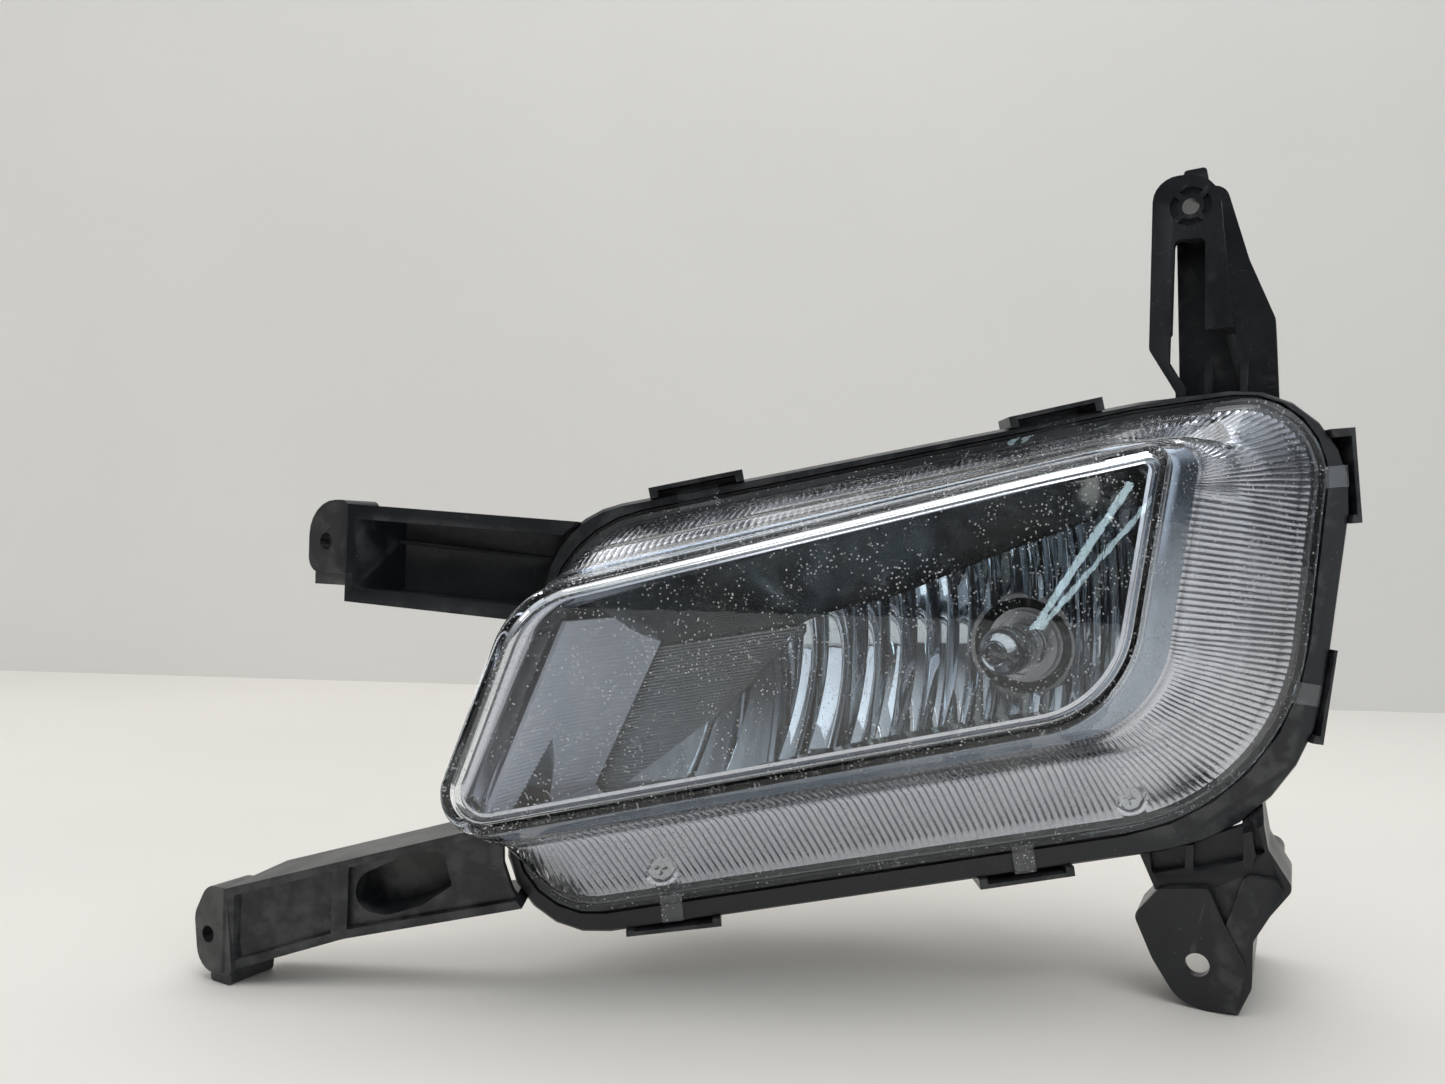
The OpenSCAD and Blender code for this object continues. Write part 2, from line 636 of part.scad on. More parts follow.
lug_half = 7;
module reflector() color([0.82, 0.83, 0.85]) in_lamp() difference() {
    union() {
        // Bowl
        difference() {
            bowl_room(0);
            in_front_of_bowl(0);
        }
        // Wing
        difference() {
            wing_room();
            in_front_of_wing(0);
        }
        // Roof over both
        intersection() {
            above_roof(0, reflector_wall);
            union() {
                bowl_room(outline_margin);
                wing_room();
            }
        }
        // Step from the bowl's inner edge back to the wing
        difference() {
            intersection() {
                refl_wall(bowl_edge_low, bowl_edge_top, 1);
                in_front_of_wing(reflector_wall);
                above_roof(-far / 2, reflector_wall);
            }
            in_front_of_bowl(0);
        }
        // Floor and outer wall
        intersection() {
            union() {
                refl_wall(refl_low_outer, refl_low_inner, reflector_wall - 0.5);
                refl_wall(refl_top_outer, refl_low_outer, reflector_wall);
            }
            union() {
                in_front_of_bowl(reflector_wall);
                intersection() {
                    in_front_of_wing(reflector_wall);
                    translate([-far + bowl_edge_low[0], -far / 2, -far / 2]) cube([far, far, far]);
                }
            }
            above_roof(-far / 2, reflector_wall);
            behind_face(refl_front_w);
        }
        // Neck round the bulb
        rod_y([0, 0], -1, 5.5, bulb_opening_r + 3);
        // Ears on the pivot pins, with the webs that hold them behind the bowl
        difference() {
            for (side = [-1, 1]) {
                translate([side > 0 ? ear_x : -ear_x - ear_width, -18.5, -4]) cube([ear_width, 12.5, 8]);
                translate([side > 0 ? 24 : -ear_x - 1, -13, -4]) cube([ear_x - 23, 5, 8]);
            }
            in_front_of_bowl(0.2);
        }
        for (side = [-1, 1]) translate([side > 0 ? ear_x : -ear_x - ear_width, tilt_y, 0])
            rotate([0, 90, 0]) cylinder(h = ear_width, r = 4);
        // Lug that holds the aim nut
        translate([aim_at[0] - lug_half, -40, aim_at[1] + 5]) cube([2 * lug_half, 32, lug_half - 5]);
        translate([aim_at[0] - lug_half, -14, aim_at[1] - lug_half])
            cube([2 * lug_half, 6, 2 * lug_half]);
    }
    rod_y([0, 0], -60, 80, bulb_opening_r);
    // Corner cut off where the bezel curves in
    upright([[21.5, -14, 0.5], [35.5, 0, 0.5], [35.5, -14, 0.5]], -60, 43);
    // Front of the floor, cut back so that it clears the bezel when it tilts
    difference() {
        column([refl_low_inner + [-10, -12], refl_low_inner + [-10, 1], refl_low_outer + [10, 6],
            refl_low_outer + [10, -12]]);
        behind_face(floor_front_w);
    }
    for (side = [-1, 1]) translate([side > 0 ? ear_x - 1 : -ear_x - ear_width - 1, tilt_y, 0])
        rotate([0, 90, 0]) cylinder(h = ear_width + 2, r = pivot_r + running_gap);
    translate([aim_at[0] - 4.5, -15, aim_at[1] - 4.5]) cube([9, 8, 9]);
}

module reflector_pivot_pins() color([0.7, 0.7, 0.72]) in_lamp() for (side = [-1, 1])
    translate([side * ear_x, tilt_y, 0]) rotate([0, side * 90, 0]) cylinder(h = pin_length, r = pivot_r);

// ---- Aiming ----

nut_clearance = 0.45;
nut_front_y = -15;
nut_length = 8;
module aim_nut() color([0.9, 0.9, 0.86]) in_lamp() difference() {
    union() {
        translate([aim_at[0] - 4.4, nut_front_y, aim_at[1] - 4.4]) cube([8.8, nut_length, 8.8]);
        translate([aim_at[0] - 5.6, nut_front_y, aim_at[1] - 4.4]) cube([11.2, 0.9, 8.8]);
    }
    rod_y(aim_at, nut_front_y - 1, nut_length + 2, screw_r + nut_clearance);
}

screw_head_y = aim_boss_y + 0.3;
module aim_screw() color([0.75, 0.72, 0.55]) in_lamp() difference() {
    union() {
        rod_y(aim_at, -22, 22 + screw_head_y + 0.2, screw_r);
        rod_y(aim_at, screw_head_y, 1.8, 5);
        rod_y(aim_at, screw_head_y + 1.7, 6, 3.6);
        for (a = [0 : 60 : 300]) translate([aim_at[0], screw_head_y + 1.7, aim_at[1]]) rotate([0, a, 0])
            translate([3.2, 0, -0.8]) cube([1.2, 6, 1.6]);
    }
    translate([aim_at[0], clip_y, aim_at[1]]) rotate([-90, 0, 0]) difference() {
        cylinder(h = 1.2, r = screw_r + 1);
        cylinder(h = 1.2, r = screw_r - 0.5);
    }
    rod_y(aim_at, 11.5, 3, 1.6);
}

module aim_screw_clip() color([0.65, 0.65, 0.67]) in_lamp() difference() {
    rod_y(aim_at, clip_y + 0.1, 1, clip_r);
    rod_y(aim_at, clip_y - 1, 3, screw_r - 0.5);
    translate([aim_at[0] - screw_r + 0.5, clip_y - 1, aim_at[1] - 6])
        cube([2 * screw_r - 1, 3, 6]);
}

module aim_screw_o_ring() color([0.05, 0.05, 0.05]) in_lamp()
    translate([aim_at[0], aim_seal_y, aim_at[1]]) rotate([-90, 0, 0])
        rotate_extrude() translate([aim_seal_r, 0]) circle(r = 0.7);

// ---- Bulb ----

bayonet_turn = 45;
lug_span = 30;
// One lug or notch of the bayonet, pointing away from the bulb at the given angle.
module bayonet_sector(angle, span, r, length) rotate([0, 0, angle]) intersection() {
    cylinder(h = length, r = r);
    rotate([0, 0, -span / 2]) cube([r + 2, r + 2, length]);
    rotate([0, 0, span / 2 - 90]) cube([r + 2, r + 2, length]);
}

glass_tip_y = -27;
module glass_profile(r, tip) {
    polygon(concat(
        [[0, 0], [r, 0]],
        [for (a = [0 : 10 : 90]) [r * cos(a), tip - r + r * sin(a)]]
    ));
}
module bulb_glass() color([0.9, 0.95, 1, 0.4]) in_lamp() translate([0, 2, 0]) rotate([90, 0, 0])
    rotate_extrude() difference() {
        glass_profile(glass_r, 2 - glass_tip_y);
        translate([0, 6]) glass_profile(glass_r - 1, -4.9 - glass_tip_y);
    }

coil_turns = 9;
coil_r = 0.9;
wire_r = 0.22;
coil_length = 4.6;
module bulb_filament() color([0.35, 0.35, 0.38]) in_lamp() translate([0, filament_y, 0])
    for (k = [0 : coil_turns - 1])
        translate([0, (k / (coil_turns - 1) - 0.5) * coil_length, 0]) rotate([-90, 0, 0])
            rotate_extrude($fn = 24) translate([coil_r, 0]) circle(r = wire_r, $fn = 13);

module filament_supports() color([0.6, 0.6, 0.6]) in_lamp() {
    rod_y([0, -coil_r - 0.5], filament_y - 3, -4 - filament_y + 3, 0.25);
    rod_y([0, 3], filament_y - 3, -4 - filament_y + 3, 0.25);
    translate([0, filament_y - 3, -coil_r - 0.6]) cylinder(h = coil_r + 3.8, r = 0.25);
}

module bulb_collar() color([0.75, 0.75, 0.77]) in_lamp() difference() {
    union() {
        rod_y([0, 0], -2, 13, 9);
        rod_y([0, 0], 1.5, 1.5, 9.8);
    }
    rod_y([0, 0], -3, 6, glass_r + 0.1);
    rod_y([0, 0], -3, 2.2, glass_r + 1.6);
}

connector_x = 20;
connector_y = 12.5;
connector_bottom = -39;
module bulb_base() color([0.12, 0.12, 0.13]) in_lamp() difference() {
    union() {
        rod_y([0, 0], 11.05, 4.4, spigot_r);
        rod_y([0, 0], 15.35, 2.6, 16.5);
        rod_y([0, 0], 17.9, 12, 12.5);
        for (a = [0 : 120 : 240]) translate([0, 8.4, 0]) rotate([-90, 0, 0])
            bayonet_sector(a, lug_span, 12, 2.3);
        rod_y([0, 0], 8.4, 3, 9.8);
        translate([-connector_x / 2, 17.9, connector_bottom]) cube([connector_x, connector_y, 34]);
        // Latch bar on the connector's back
        translate([-3, 30.3, connector_bottom]) cube([6, 1.6, 8]);
        // Grips on the two sides
        for (side = [-1, 1]) translate([side * 13.5 - 2, 17.9, -2]) cube([4, 5, 12]);
    }
    translate([-connector_x / 2 + 1.8, 19.7, connector_bottom - 1])
        cube([connector_x - 3.6, connector_y - 3.6, 16]);
    rod_y([0, 0], 7, 4.05, 9.05);
}

terminal_x = 5;
module bulb_terminals() color([0.8, 0.78, 0.7]) in_lamp() for (side = [-1, 1])
    translate([side * terminal_x - 1.4, 23.7, connector_bottom + 3]) cube([2.8, 0.8, 14]);

module bulb_o_ring() color([0.05, 0.05, 0.05]) in_lamp() translate([0, 14.75, 0]) rotate([-90, 0, 0])
    rotate_extrude() translate([13.4, 0]) circle(r = 0.62);

// ---- Vent ----

module vent_membrane() color([0.85, 0.85, 0.83])
    back_from(vent_at[0], vent_y - 1.95, vent_at[1]) cylinder(h = 0.4, r = 4.4);

module vent_cap() color([0.08, 0.08, 0.08]) back_from(vent_at[0], vent_y - 1.45, vent_at[1]) difference() {
    union() {
        cylinder(h = 1.5, r = 4.4);
        translate([0, 0, 1.5]) cylinder(h = 1.6, r = 5.8);
    }
    translate([0, 0, -1]) cylinder(h = 2.5, r = 2.5);
    for (a = [0, 90]) rotate([0, 0, a]) translate([-7, -0.6, 0.4]) cube([14, 1.2, 1.2]);
}

housing();
arm_upper_inner();
arm_lower_inner();
arm_upper_outer();
arm_lower_outer();
lens();
lens_sealant();
inner_bezel();
side_panel();
bezel_screws();
reflector();
reflector_pivot_pins();
aim_screw();
aim_screw_clip();
aim_screw_o_ring();
aim_nut();
bulb_glass();
bulb_filament();
filament_supports();
bulb_collar();
bulb_base();
bulb_terminals();
bulb_o_ring();
vent_cap();
vent_membrane();
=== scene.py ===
"""Corner fog lamp: looks, floor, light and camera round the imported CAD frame."""
import math

import bmesh
import bpy
import numpy as np
from mathutils import Matrix, Vector


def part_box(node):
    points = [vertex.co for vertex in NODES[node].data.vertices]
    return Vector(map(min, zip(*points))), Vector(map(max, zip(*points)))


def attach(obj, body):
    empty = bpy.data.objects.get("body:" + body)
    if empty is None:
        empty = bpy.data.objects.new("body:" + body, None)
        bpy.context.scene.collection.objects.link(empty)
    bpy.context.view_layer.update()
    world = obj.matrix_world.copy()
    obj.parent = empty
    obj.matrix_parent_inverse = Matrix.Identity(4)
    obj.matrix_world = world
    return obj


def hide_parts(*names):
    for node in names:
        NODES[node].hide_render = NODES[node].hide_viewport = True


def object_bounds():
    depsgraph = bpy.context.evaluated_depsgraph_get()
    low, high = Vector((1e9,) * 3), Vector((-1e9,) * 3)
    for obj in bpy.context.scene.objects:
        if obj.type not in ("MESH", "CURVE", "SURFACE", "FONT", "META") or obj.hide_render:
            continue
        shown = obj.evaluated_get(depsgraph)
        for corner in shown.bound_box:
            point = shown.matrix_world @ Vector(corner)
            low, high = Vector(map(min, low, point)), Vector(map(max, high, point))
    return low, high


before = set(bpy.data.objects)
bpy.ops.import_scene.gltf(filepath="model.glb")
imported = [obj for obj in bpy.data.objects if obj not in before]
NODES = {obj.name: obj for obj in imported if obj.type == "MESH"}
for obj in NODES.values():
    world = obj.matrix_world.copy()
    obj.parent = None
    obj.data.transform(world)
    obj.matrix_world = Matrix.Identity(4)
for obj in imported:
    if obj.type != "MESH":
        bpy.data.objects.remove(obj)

cad_low, cad_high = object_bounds()
MM = 0.001

# ---------------------------------------------------------------- places

YAW = math.radians(28)
collar_low, collar_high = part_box("bulb_collar")
BULB = np.array([
    (collar_low.x + collar_high.x) / 2,
    collar_low.y + 2 * MM,
    (collar_low.z + collar_high.z) / 2,
])
ACROSS = np.array([math.cos(YAW), math.sin(YAW), 0.0])
INTO = np.array([-math.sin(YAW), math.cos(YAW), 0.0])
UP = np.array([0.0, 0.0, 1.0])


def lamp(x, y, z):
    """A point in mm from the bulb's axis, in the row frame."""
    return BULB + np.array([x, y, z]) * MM


def face(u, v, w):
    """A point u across the lens, v up and w into it, in mm from the bulb's axis."""
    return BULB + (ACROSS * u + UP * v + INTO * w) * MM


# ---------------------------------------------------------------- outlines

WINDOW = [(-144, -44, 9), (-125, 12, 22), (-10, 43.2, 60), (19, 50.5, 5), (10.5, -11.6, 27)]
WALL = [(-139.8, -47.5, 9), (-121, 15.5, 21), (8, 49, 30), (30.5, 52.5, 7), (21.5, -15, 27)]
STEP = [(-136, -49.5, 9), (-117, 20, 20), (11, 51, 20), (46, 51, 9), (38.2, -18.2, 32)]
RIM = [(-127, -66.5, 16), (-116.5, 24.5, 26), (20, 56.6, 40), (64.8, 64.5, 17), (56.5, -33.5, 50)]
OPENING = [(-134.3, -41, 3), (-115.6, 8.4, 14), (-50, 28.3, 40), (17.3, 45.2, 4), (9.1, -11, 22)]
WINDOW_W, WALL_W, STEP_W, RIM_W = -49.0, -41.0, -35.0, -23.0
GROOVE_W = -16.5


def unit(v):
    return v / np.linalg.norm(v)


def corner_normals(shape, i):
    p = np.array(shape[i - 1][:2], float)
    q = np.array(shape[i][:2], float)
    r = np.array(shape[(i + 1) % len(shape)][:2], float)
    a, b = unit(q - p), unit(r - q)
    return np.array([-a[1], a[0]]), np.array([-b[1], b[0]])


def grown(shape, d):
    out = []
    for i, (x, y, r) in enumerate(shape):
        a, b = corner_normals(shape, i)
        m = (a + b) / (1 + a @ b)
        out.append((x + d * m[0], y + d * m[1], max(r + d, 0.6)))
    return out


def between(a, b, t):
    return [tuple(p + (q - p) * t for p, q in zip(m, n)) for m, n in zip(a, b)]


def rounded(shape, steps=20):
    """Points and outward normals of a rounded outline."""
    points, normals = [], []
    for i, (x, y, r) in enumerate(shape):
        a, b = corner_normals(shape, i)
        m = (a + b) / (1 + a @ b)
        start = math.atan2(a[1], a[0])
        turn = -math.acos(min(1.0, a @ b))
        for k in range(steps + 1):
            t = start + turn * k / steps
            n = np.array([math.cos(t), math.sin(t)])
            points.append(np.array([x, y]) - r * m + r * n)
            normals.append(n)
    return np.array(points), np.array(normals)


def dense(shape, spacing, steps=60):
    """A rounded outline cut up finely, its straight edges too."""
    points, normals = rounded(shape, steps)
    out_p, out_n = [], []
    count = len(points)
    for i in range(count):
        p, q = points[i], points[(i + 1) % count]
        m, n = normals[i], normals[(i + 1) % count]
        cuts = max(1, int(math.ceil(np.linalg.norm(q - p) / spacing)))
        for k in range(cuts):
            t = k / cuts
            out_p.append(p + (q - p) * t)
            out_n.append(unit(m + (n - m) * t))
    return np.array(out_p), np.array(out_n)


def seen_ahead(shape, w):
    """A face outline as it is seen along the lamp's own axis."""
    return [(math.cos(YAW) * x - math.sin(YAW) * w, y, r) for x, y, r in shape]


def polyline_ahead(shape, w):
    points, _ = rounded(shape, 40)
    out = points.copy()
    out[:, 0] = math.cos(YAW) * points[:, 0] - math.sin(YAW) * w
    return out


def cast(origins, directions, loop):
    """Where rays from inside a closed outline leave it."""
    p = loop
    e = np.roll(loop, -1, axis=0) - loop
    best = np.full(len(origins), np.inf)
    for j in range(len(p)):
        den = directions[:, 0] * e[j, 1] - directions[:, 1] * e[j, 0]
        dx = p[j, 0] - origins[:, 0]
        dy = p[j, 1] - origins[:, 1]
        with np.errstate(divide="ignore", invalid="ignore"):
            t = (dx * e[j, 1] - dy * e[j, 0]) / den
            s = (dx * directions[:, 1] - dy * directions[:, 0]) / den
        good = (t > 0) & (s >= -1e-9) & (s <= 1 + 1e-9)
        best = np.where(good & (t < best), t, best)
    return origins + directions * best[:, None]


# ---------------------------------------------------------------- mesh making

def make(name, points, faces, material, body, *replaced, smooth=True, slot=None, angle=40):
    mesh = bpy.data.meshes.new(name)
    mesh.from_pydata([tuple(p) for p in points], [], [tuple(f) for f in faces])
    return finish_piece(name, mesh, material, body, *replaced, smooth=smooth, slot=slot, angle=angle)


def finish_piece(name, mesh, material, body, *replaced, smooth=True, slot=None, angle=40):
    mesh.validate()
    bm = bmesh.new()
    bm.from_mesh(mesh)
    bmesh.ops.remove_doubles(bm, verts=bm.verts, dist=1e-7)
    bmesh.ops.dissolve_degenerate(bm, edges=bm.edges, dist=1e-8)
    bmesh.ops.recalc_face_normals(bm, faces=bm.faces)
    bm.to_mesh(mesh)
    bm.free()
    piece = bpy.data.objects.new(name, mesh)
    bpy.context.scene.collection.objects.link(piece)
    mesh.materials.append(material)
    if smooth:
        mesh.polygons.foreach_set("use_smooth", [True] * len(mesh.polygons))
        if angle < 180:
            mesh.set_sharp_from_angle(angle=math.radians(angle))
    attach(piece, body)
    if replaced:
        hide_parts(*replaced)
    return piece


def skin(rings, loop=False, caps=True):
    """Points and faces of a surface through rings of equal length."""
    n = len(rings[0])
    points = np.concatenate(rings)
    faces = []
    spans = len(rings) if loop else len(rings) - 1
    for j in range(spans):
        a, b = j * n, ((j + 1) % len(rings)) * n
        for i in range(n):
            k = (i + 1) % n
            faces.append((a + i, a + k, b + k, b + i))
    if not loop and caps:
        faces.append(tuple(range(n - 1, -1, -1)))
        faces.append(tuple((len(rings) - 1) * n + i for i in range(n)))
    return points, faces


def ring(shape, w, steps=20):
    points, _ = rounded(shape, steps)
    return np.array([face(p[0], p[1], w) for p in points])


def joined(parts):
    points, faces, base = [], [], 0
    for p, f in parts:
        points.append(np.asarray(p))
        faces.extend(tuple(i + base for i in g) for g in f)
        base += len(p)
    return np.concatenate(points), faces


def slab(name, grid, offset, material, body, *replaced, angle=35, skip=None):
    """A closed sheet: a grid of lamp points, a second layer moved by an offset, and walls between."""
    n, m = len(grid), len(grid[0])
    front = [p for column in grid for p in column]
    total = n * m
    points = [lamp(*p) for p in front] + [lamp(*(np.array(p) + np.array(offset))) for p in front]
    faces, uses = [], {}
    for i in range(n - 1):
        for j in range(m - 1):
            a, b = i * m + j, (i + 1) * m + j
            middle = (np.array(front[a]) + np.array(front[b + 1])) / 2
            if skip and skip(middle[0], middle[2]):
                continue
            quad = (a, a + 1, b + 1, b)
            faces.append(quad)
            faces.append(tuple(total + k for k in reversed(quad)))
            for p, q in zip(quad, quad[1:] + quad[:1]):
                uses.setdefault((min(p, q), max(p, q)), []).append((p, q))
    for found in uses.values():
        if len(found) == 1:
            p, q = found[0]
            faces.append((q, p, total + p, total + q))
    return make(name, points, faces, material, body, *replaced, slot="bright_coat", angle=angle)


def block(low, high, frame_axes=None):
    """Corners and faces of a box in the lamp's mm, on the given axes."""
    ax = frame_axes or (np.array([1.0, 0, 0]), np.array([0, 1.0, 0]), np.array([0, 0, 1.0]))
    corners = []
    for k in (0, 1):
        for j in (0, 1):
            for i in (0, 1):
                v = [(low, high)[i][0], (low, high)[j][1], (low, high)[k][2]]
                corners.append(BULB + (ax[0] * v[0] + ax[1] * v[1] + ax[2] * v[2]) * MM)
    faces = [(0, 2, 3, 1), (4, 5, 7, 6), (0, 1, 5, 4), (2, 6, 7, 3), (0, 4, 6, 2), (1, 3, 7, 5)]
    return np.array(corners), faces


def turned(profile, centre, steps=64):
    """A closed profile of (radius, along) points, turned round the lamp's Y axis."""
    rings = []
    for k in range(steps):
        a = 2 * math.pi * k / steps
        rings.append(np.array([
            lamp(centre[0] + r * math.cos(a), centre[1] + y, centre[2] + r * math.sin(a))
            for r, y in profile
        ]))
    n = len(profile)
    points = np.concatenate(rings)
    faces = []
    for k in range(steps):
        a, b = k * n, ((k + 1) % steps) * n
        for i in range(n):
            j = (i + 1) % n
            faces.append((a + i, a + j, b + j, b + i))
    return points, faces


def tube(path, radius, sides=10):
    """A closed round wire along points given in metres."""
    path = np.asarray(path, float)
    rings = []
    normal = None
    for i in range(len(path)):
        d = unit(path[min(i + 1, len(path) - 1)] - path[max(i - 1, 0)])
        if normal is None:
            normal = unit(np.cross(d, [0.31, 0.52, 0.79]))
        normal = unit(normal - d * (normal @ d))
        other = np.cross(d, normal)
        rings.append(np.array([
            path[i] + radius * (math.cos(a) * normal + math.sin(a) * other)
            for a in (2 * math.pi * k / sides for k in range(sides))
        ]))
    return skin(rings)


# ---------------------------------------------------------------- materials

class Nodes:
    """A short way to write a material's node tree."""

    def __init__(self, name):
        self.material = bpy.data.materials.new(name)
        self.material.use_nodes = True
        self.tree = self.material.node_tree
        self.tree.nodes.clear()
        self.out = self.tree.nodes.new("ShaderNodeOutputMaterial")
        self.place = self.tree.nodes.new("ShaderNodeTexCoord").outputs["Object"]
        self.geometry = self.tree.nodes.new("ShaderNodeNewGeometry")

    def add(self, kind, **values):
        node = self.tree.nodes.new("ShaderNode" + kind)
        for key, value in values.items():
            setattr(node, key, value)
        return node

    def link(self, a, b):
        self.tree.links.new(a, b)

    def set(self, socket, value):
        if isinstance(value, bpy.types.NodeSocket):
            self.link(value, socket)
        elif isinstance(value, (tuple, list)) and len(value) == 3 and socket.type == "RGBA":
            socket.default_value = (*value, 1)
        else:
            socket.default_value = value

    def scaled(self, scale, rotation=(0, 0, 0)):
        node = self.add("Mapping")
        self.link(self.place, node.inputs["Vector"])
        node.inputs["Scale"].default_value = scale
        node.inputs["Rotation"].default_value = rotation
        return node.outputs["Vector"]

    def noise(self, scale, detail=3.0, rough=0.55, where=None, distortion=0.0):
        node = self.add("TexNoise")
        self.link(where or self.place, node.inputs["Vector"])
        node.inputs["Scale"].default_value = scale
        node.inputs["Detail"].default_value = detail
        node.inputs["Roughness"].default_value = rough
        node.inputs["Distortion"].default_value = distortion
        return node.outputs["Fac"]

    def cells(self, scale, where=None, output="Distance", randomness=1.0):
        node = self.add("TexVoronoi")
        self.link(where or self.place, node.inputs["Vector"])
        node.inputs["Scale"].default_value = scale
        node.inputs["Randomness"].default_value = randomness
        return node.outputs[output]

    def remap(self, value, low, high, to_low=0.0, to_high=1.0, smooth=True):
        node = self.add("MapRange")
        node.interpolation_type = "SMOOTHSTEP" if smooth else "LINEAR"
        self.set(node.inputs["Value"], value)
        node.inputs["From Min"].default_value = low
        node.inputs["From Max"].default_value = high
        node.inputs["To Min"].default_value = to_low
        node.inputs["To Max"].default_value = to_high
        return node.outputs["Result"]

    def math(self, operation, a, b=0.0, c=0.0):
        node = self.add("Math", operation=operation)
        for socket, value in zip(node.inputs, (a, b, c)):
            self.set(socket, value)
        return node.outputs[0]

    def colours(self, factor, a, b):
        node = self.add("Mix", data_type="RGBA")
        self.set(node.inputs[0], factor)
        self.set(node.inputs[6], a)
        self.set(node.inputs[7], b)
        return node.outputs[2]

    def facing_up(self, low=0.2, high=0.95):
        split = self.add("SeparateXYZ")
        self.link(self.geometry.outputs["Normal"], split.inputs[0])
        return self.remap(split.outputs["Z"], low, high)

    def bump(self, height, strength, distance, normal=None):
        node = self.add("Bump")
        self.set(node.inputs["Height"], height)
        node.inputs["Strength"].default_value = strength
        node.inputs["Distance"].default_value = distance
        if normal is not None:
            self.link(normal, node.inputs["Normal"])
        return node.outputs["Normal"]

    def surface(self, colour, roughness, metallic=0.0, normal=None, **sockets):
        node = self.add("BsdfPrincipled")
        self.set(node.inputs["Base Color"], colour)
        self.set(node.inputs["Roughness"], roughness)
        node.inputs["Metallic"].default_value = metallic
        if normal is not None:
            self.link(normal, node.inputs["Normal"])
        for key, value in sockets.items():
            self.set(node.inputs[key.replace("_", " ")], value)
        return node.outputs[0]

    def mix(self, factor, a, b):
        node = self.add("MixShader")
        self.set(node.inputs[0], factor)
        self.link(a, node.inputs[1])
        self.link(b, node.inputs[2])
        return node.outputs[0]

    def done(self, shader):
        self.link(shader, self.out.inputs["Surface"])
        return self.material


def scratches(n, count_scale, stretch, rotation, low, high):
    """Thin broken lines: noise pulled out along one direction."""
    lines = n.noise(count_scale, 2.0, 0.5, n.scaled(stretch, rotation))
    gaps = n.noise(60.0, 2.0, 0.5)
    return n.math("MULTIPLY", n.remap(lines, low, high), n.remap(gaps, 0.45, 0.62))


def moulded_plastic(name, dark, pale, gloss_low, gloss_high, grain, dust=0.14):
    n = Nodes(name)
    patches = n.noise(45.0, 5.0, 0.6)
    fine = n.noise(2600.0, 2.0, 0.5)
    smears = n.noise(14.0, 4.0, 0.65, n.scaled((1.0, 1.0, 3.0), (0.3, 0.2, 0.5)), 1.4)
    colour = n.colours(n.remap(patches, 0.35, 0.75), dark, pale)
    rub = n.math("MULTIPLY", n.remap(smears, 0.58, 0.78), n.remap(n.noise(420.0, 3.0), 0.35, 0.7))
    colour = n.colours(n.math("MULTIPLY", rub, 0.22), colour, (0.12, 0.115, 0.11))
    lines = scratches(n, 30.0, (160.0, 14.0, 14.0), (0.4, 0.6, 0.2), 0.66, 0.74)
    lines = n.math("MAXIMUM", lines, scratches(n, 30.0, (14.0, 14.0, 170.0), (0.2, 0.5, 0.9), 0.67, 0.75))
    colour = n.colours(n.math("MULTIPLY", lines, 0.22), colour, (0.2, 0.2, 0.2))
    wear = n.remap(n.geometry.outputs["Pointiness"], 0.53, 0.62)
    wear = n.math("MULTIPLY", wear, n.remap(n.noise(160.0, 3.0), 0.4, 0.65))
    colour = n.colours(n.math("MULTIPLY", wear, 0.3), colour, (0.13, 0.13, 0.13))
    settled = n.math("MULTIPLY", n.facing_up(0.35, 1.0), n.remap(n.noise(110.0, 5.0, 0.7), 0.35, 0.75))
    settled = n.math("MULTIPLY", settled, dust)
    specks = n.remap(n.cells(480.0), 0.16, 0.05)
    specks = n.math("MULTIPLY", specks, n.remap(n.noise(90.0, 3.0), 0.52, 0.66))
    settled = n.math("MAXIMUM", settled, n.math("MULTIPLY", specks, 0.22))
    colour = n.colours(settled, colour, (0.26, 0.25, 0.235))
    rough = n.remap(patches, 0.3, 0.7, gloss_low, gloss_high)
    rough = n.math("ADD", rough, n.math("MULTIPLY", n.math("MAXIMUM", rub, settled), 0.3))
    rough = n.math("MINIMUM", rough, 0.95)
    normal = n.bump(fine, 0.35, grain)
    normal = n.bump(n.noise(130.0, 3.0), 0.12, 0.0004, normal)
    normal = n.bump(lines, 0.25, 0.0001, normal)
    return n.done(n.surface(colour, rough, 0.0, normal))


def bright_metal(name, colour_a, colour_b, rough_low, rough_high, ripple=0.0, dust=0.1, metal=1.0):
    n = Nodes(name)
    haze = n.noise(55.0, 4.0, 0.6)
    colour = n.colours(n.remap(haze, 0.3, 0.7), colour_a, colour_b)
    rough = n.remap(haze, 0.35, 0.7, rough_low, rough_high)
    specks = n.remap(n.cells(760.0), 0.14, 0.05)
    specks = n.math("MULTIPLY", specks, n.remap(n.noise(130.0, 3.0), 0.42, 0.6))
    specks = n.math("MULTIPLY", specks, dust)
    coat = n.surface(colour, rough, metal, n.bump(n.noise(38.0, 2.0), 0.25, ripple) if ripple else None)
    powder = n.surface((0.62, 0.62, 0.6), 0.9)
    return n.done(n.mix(specks, coat, powder))


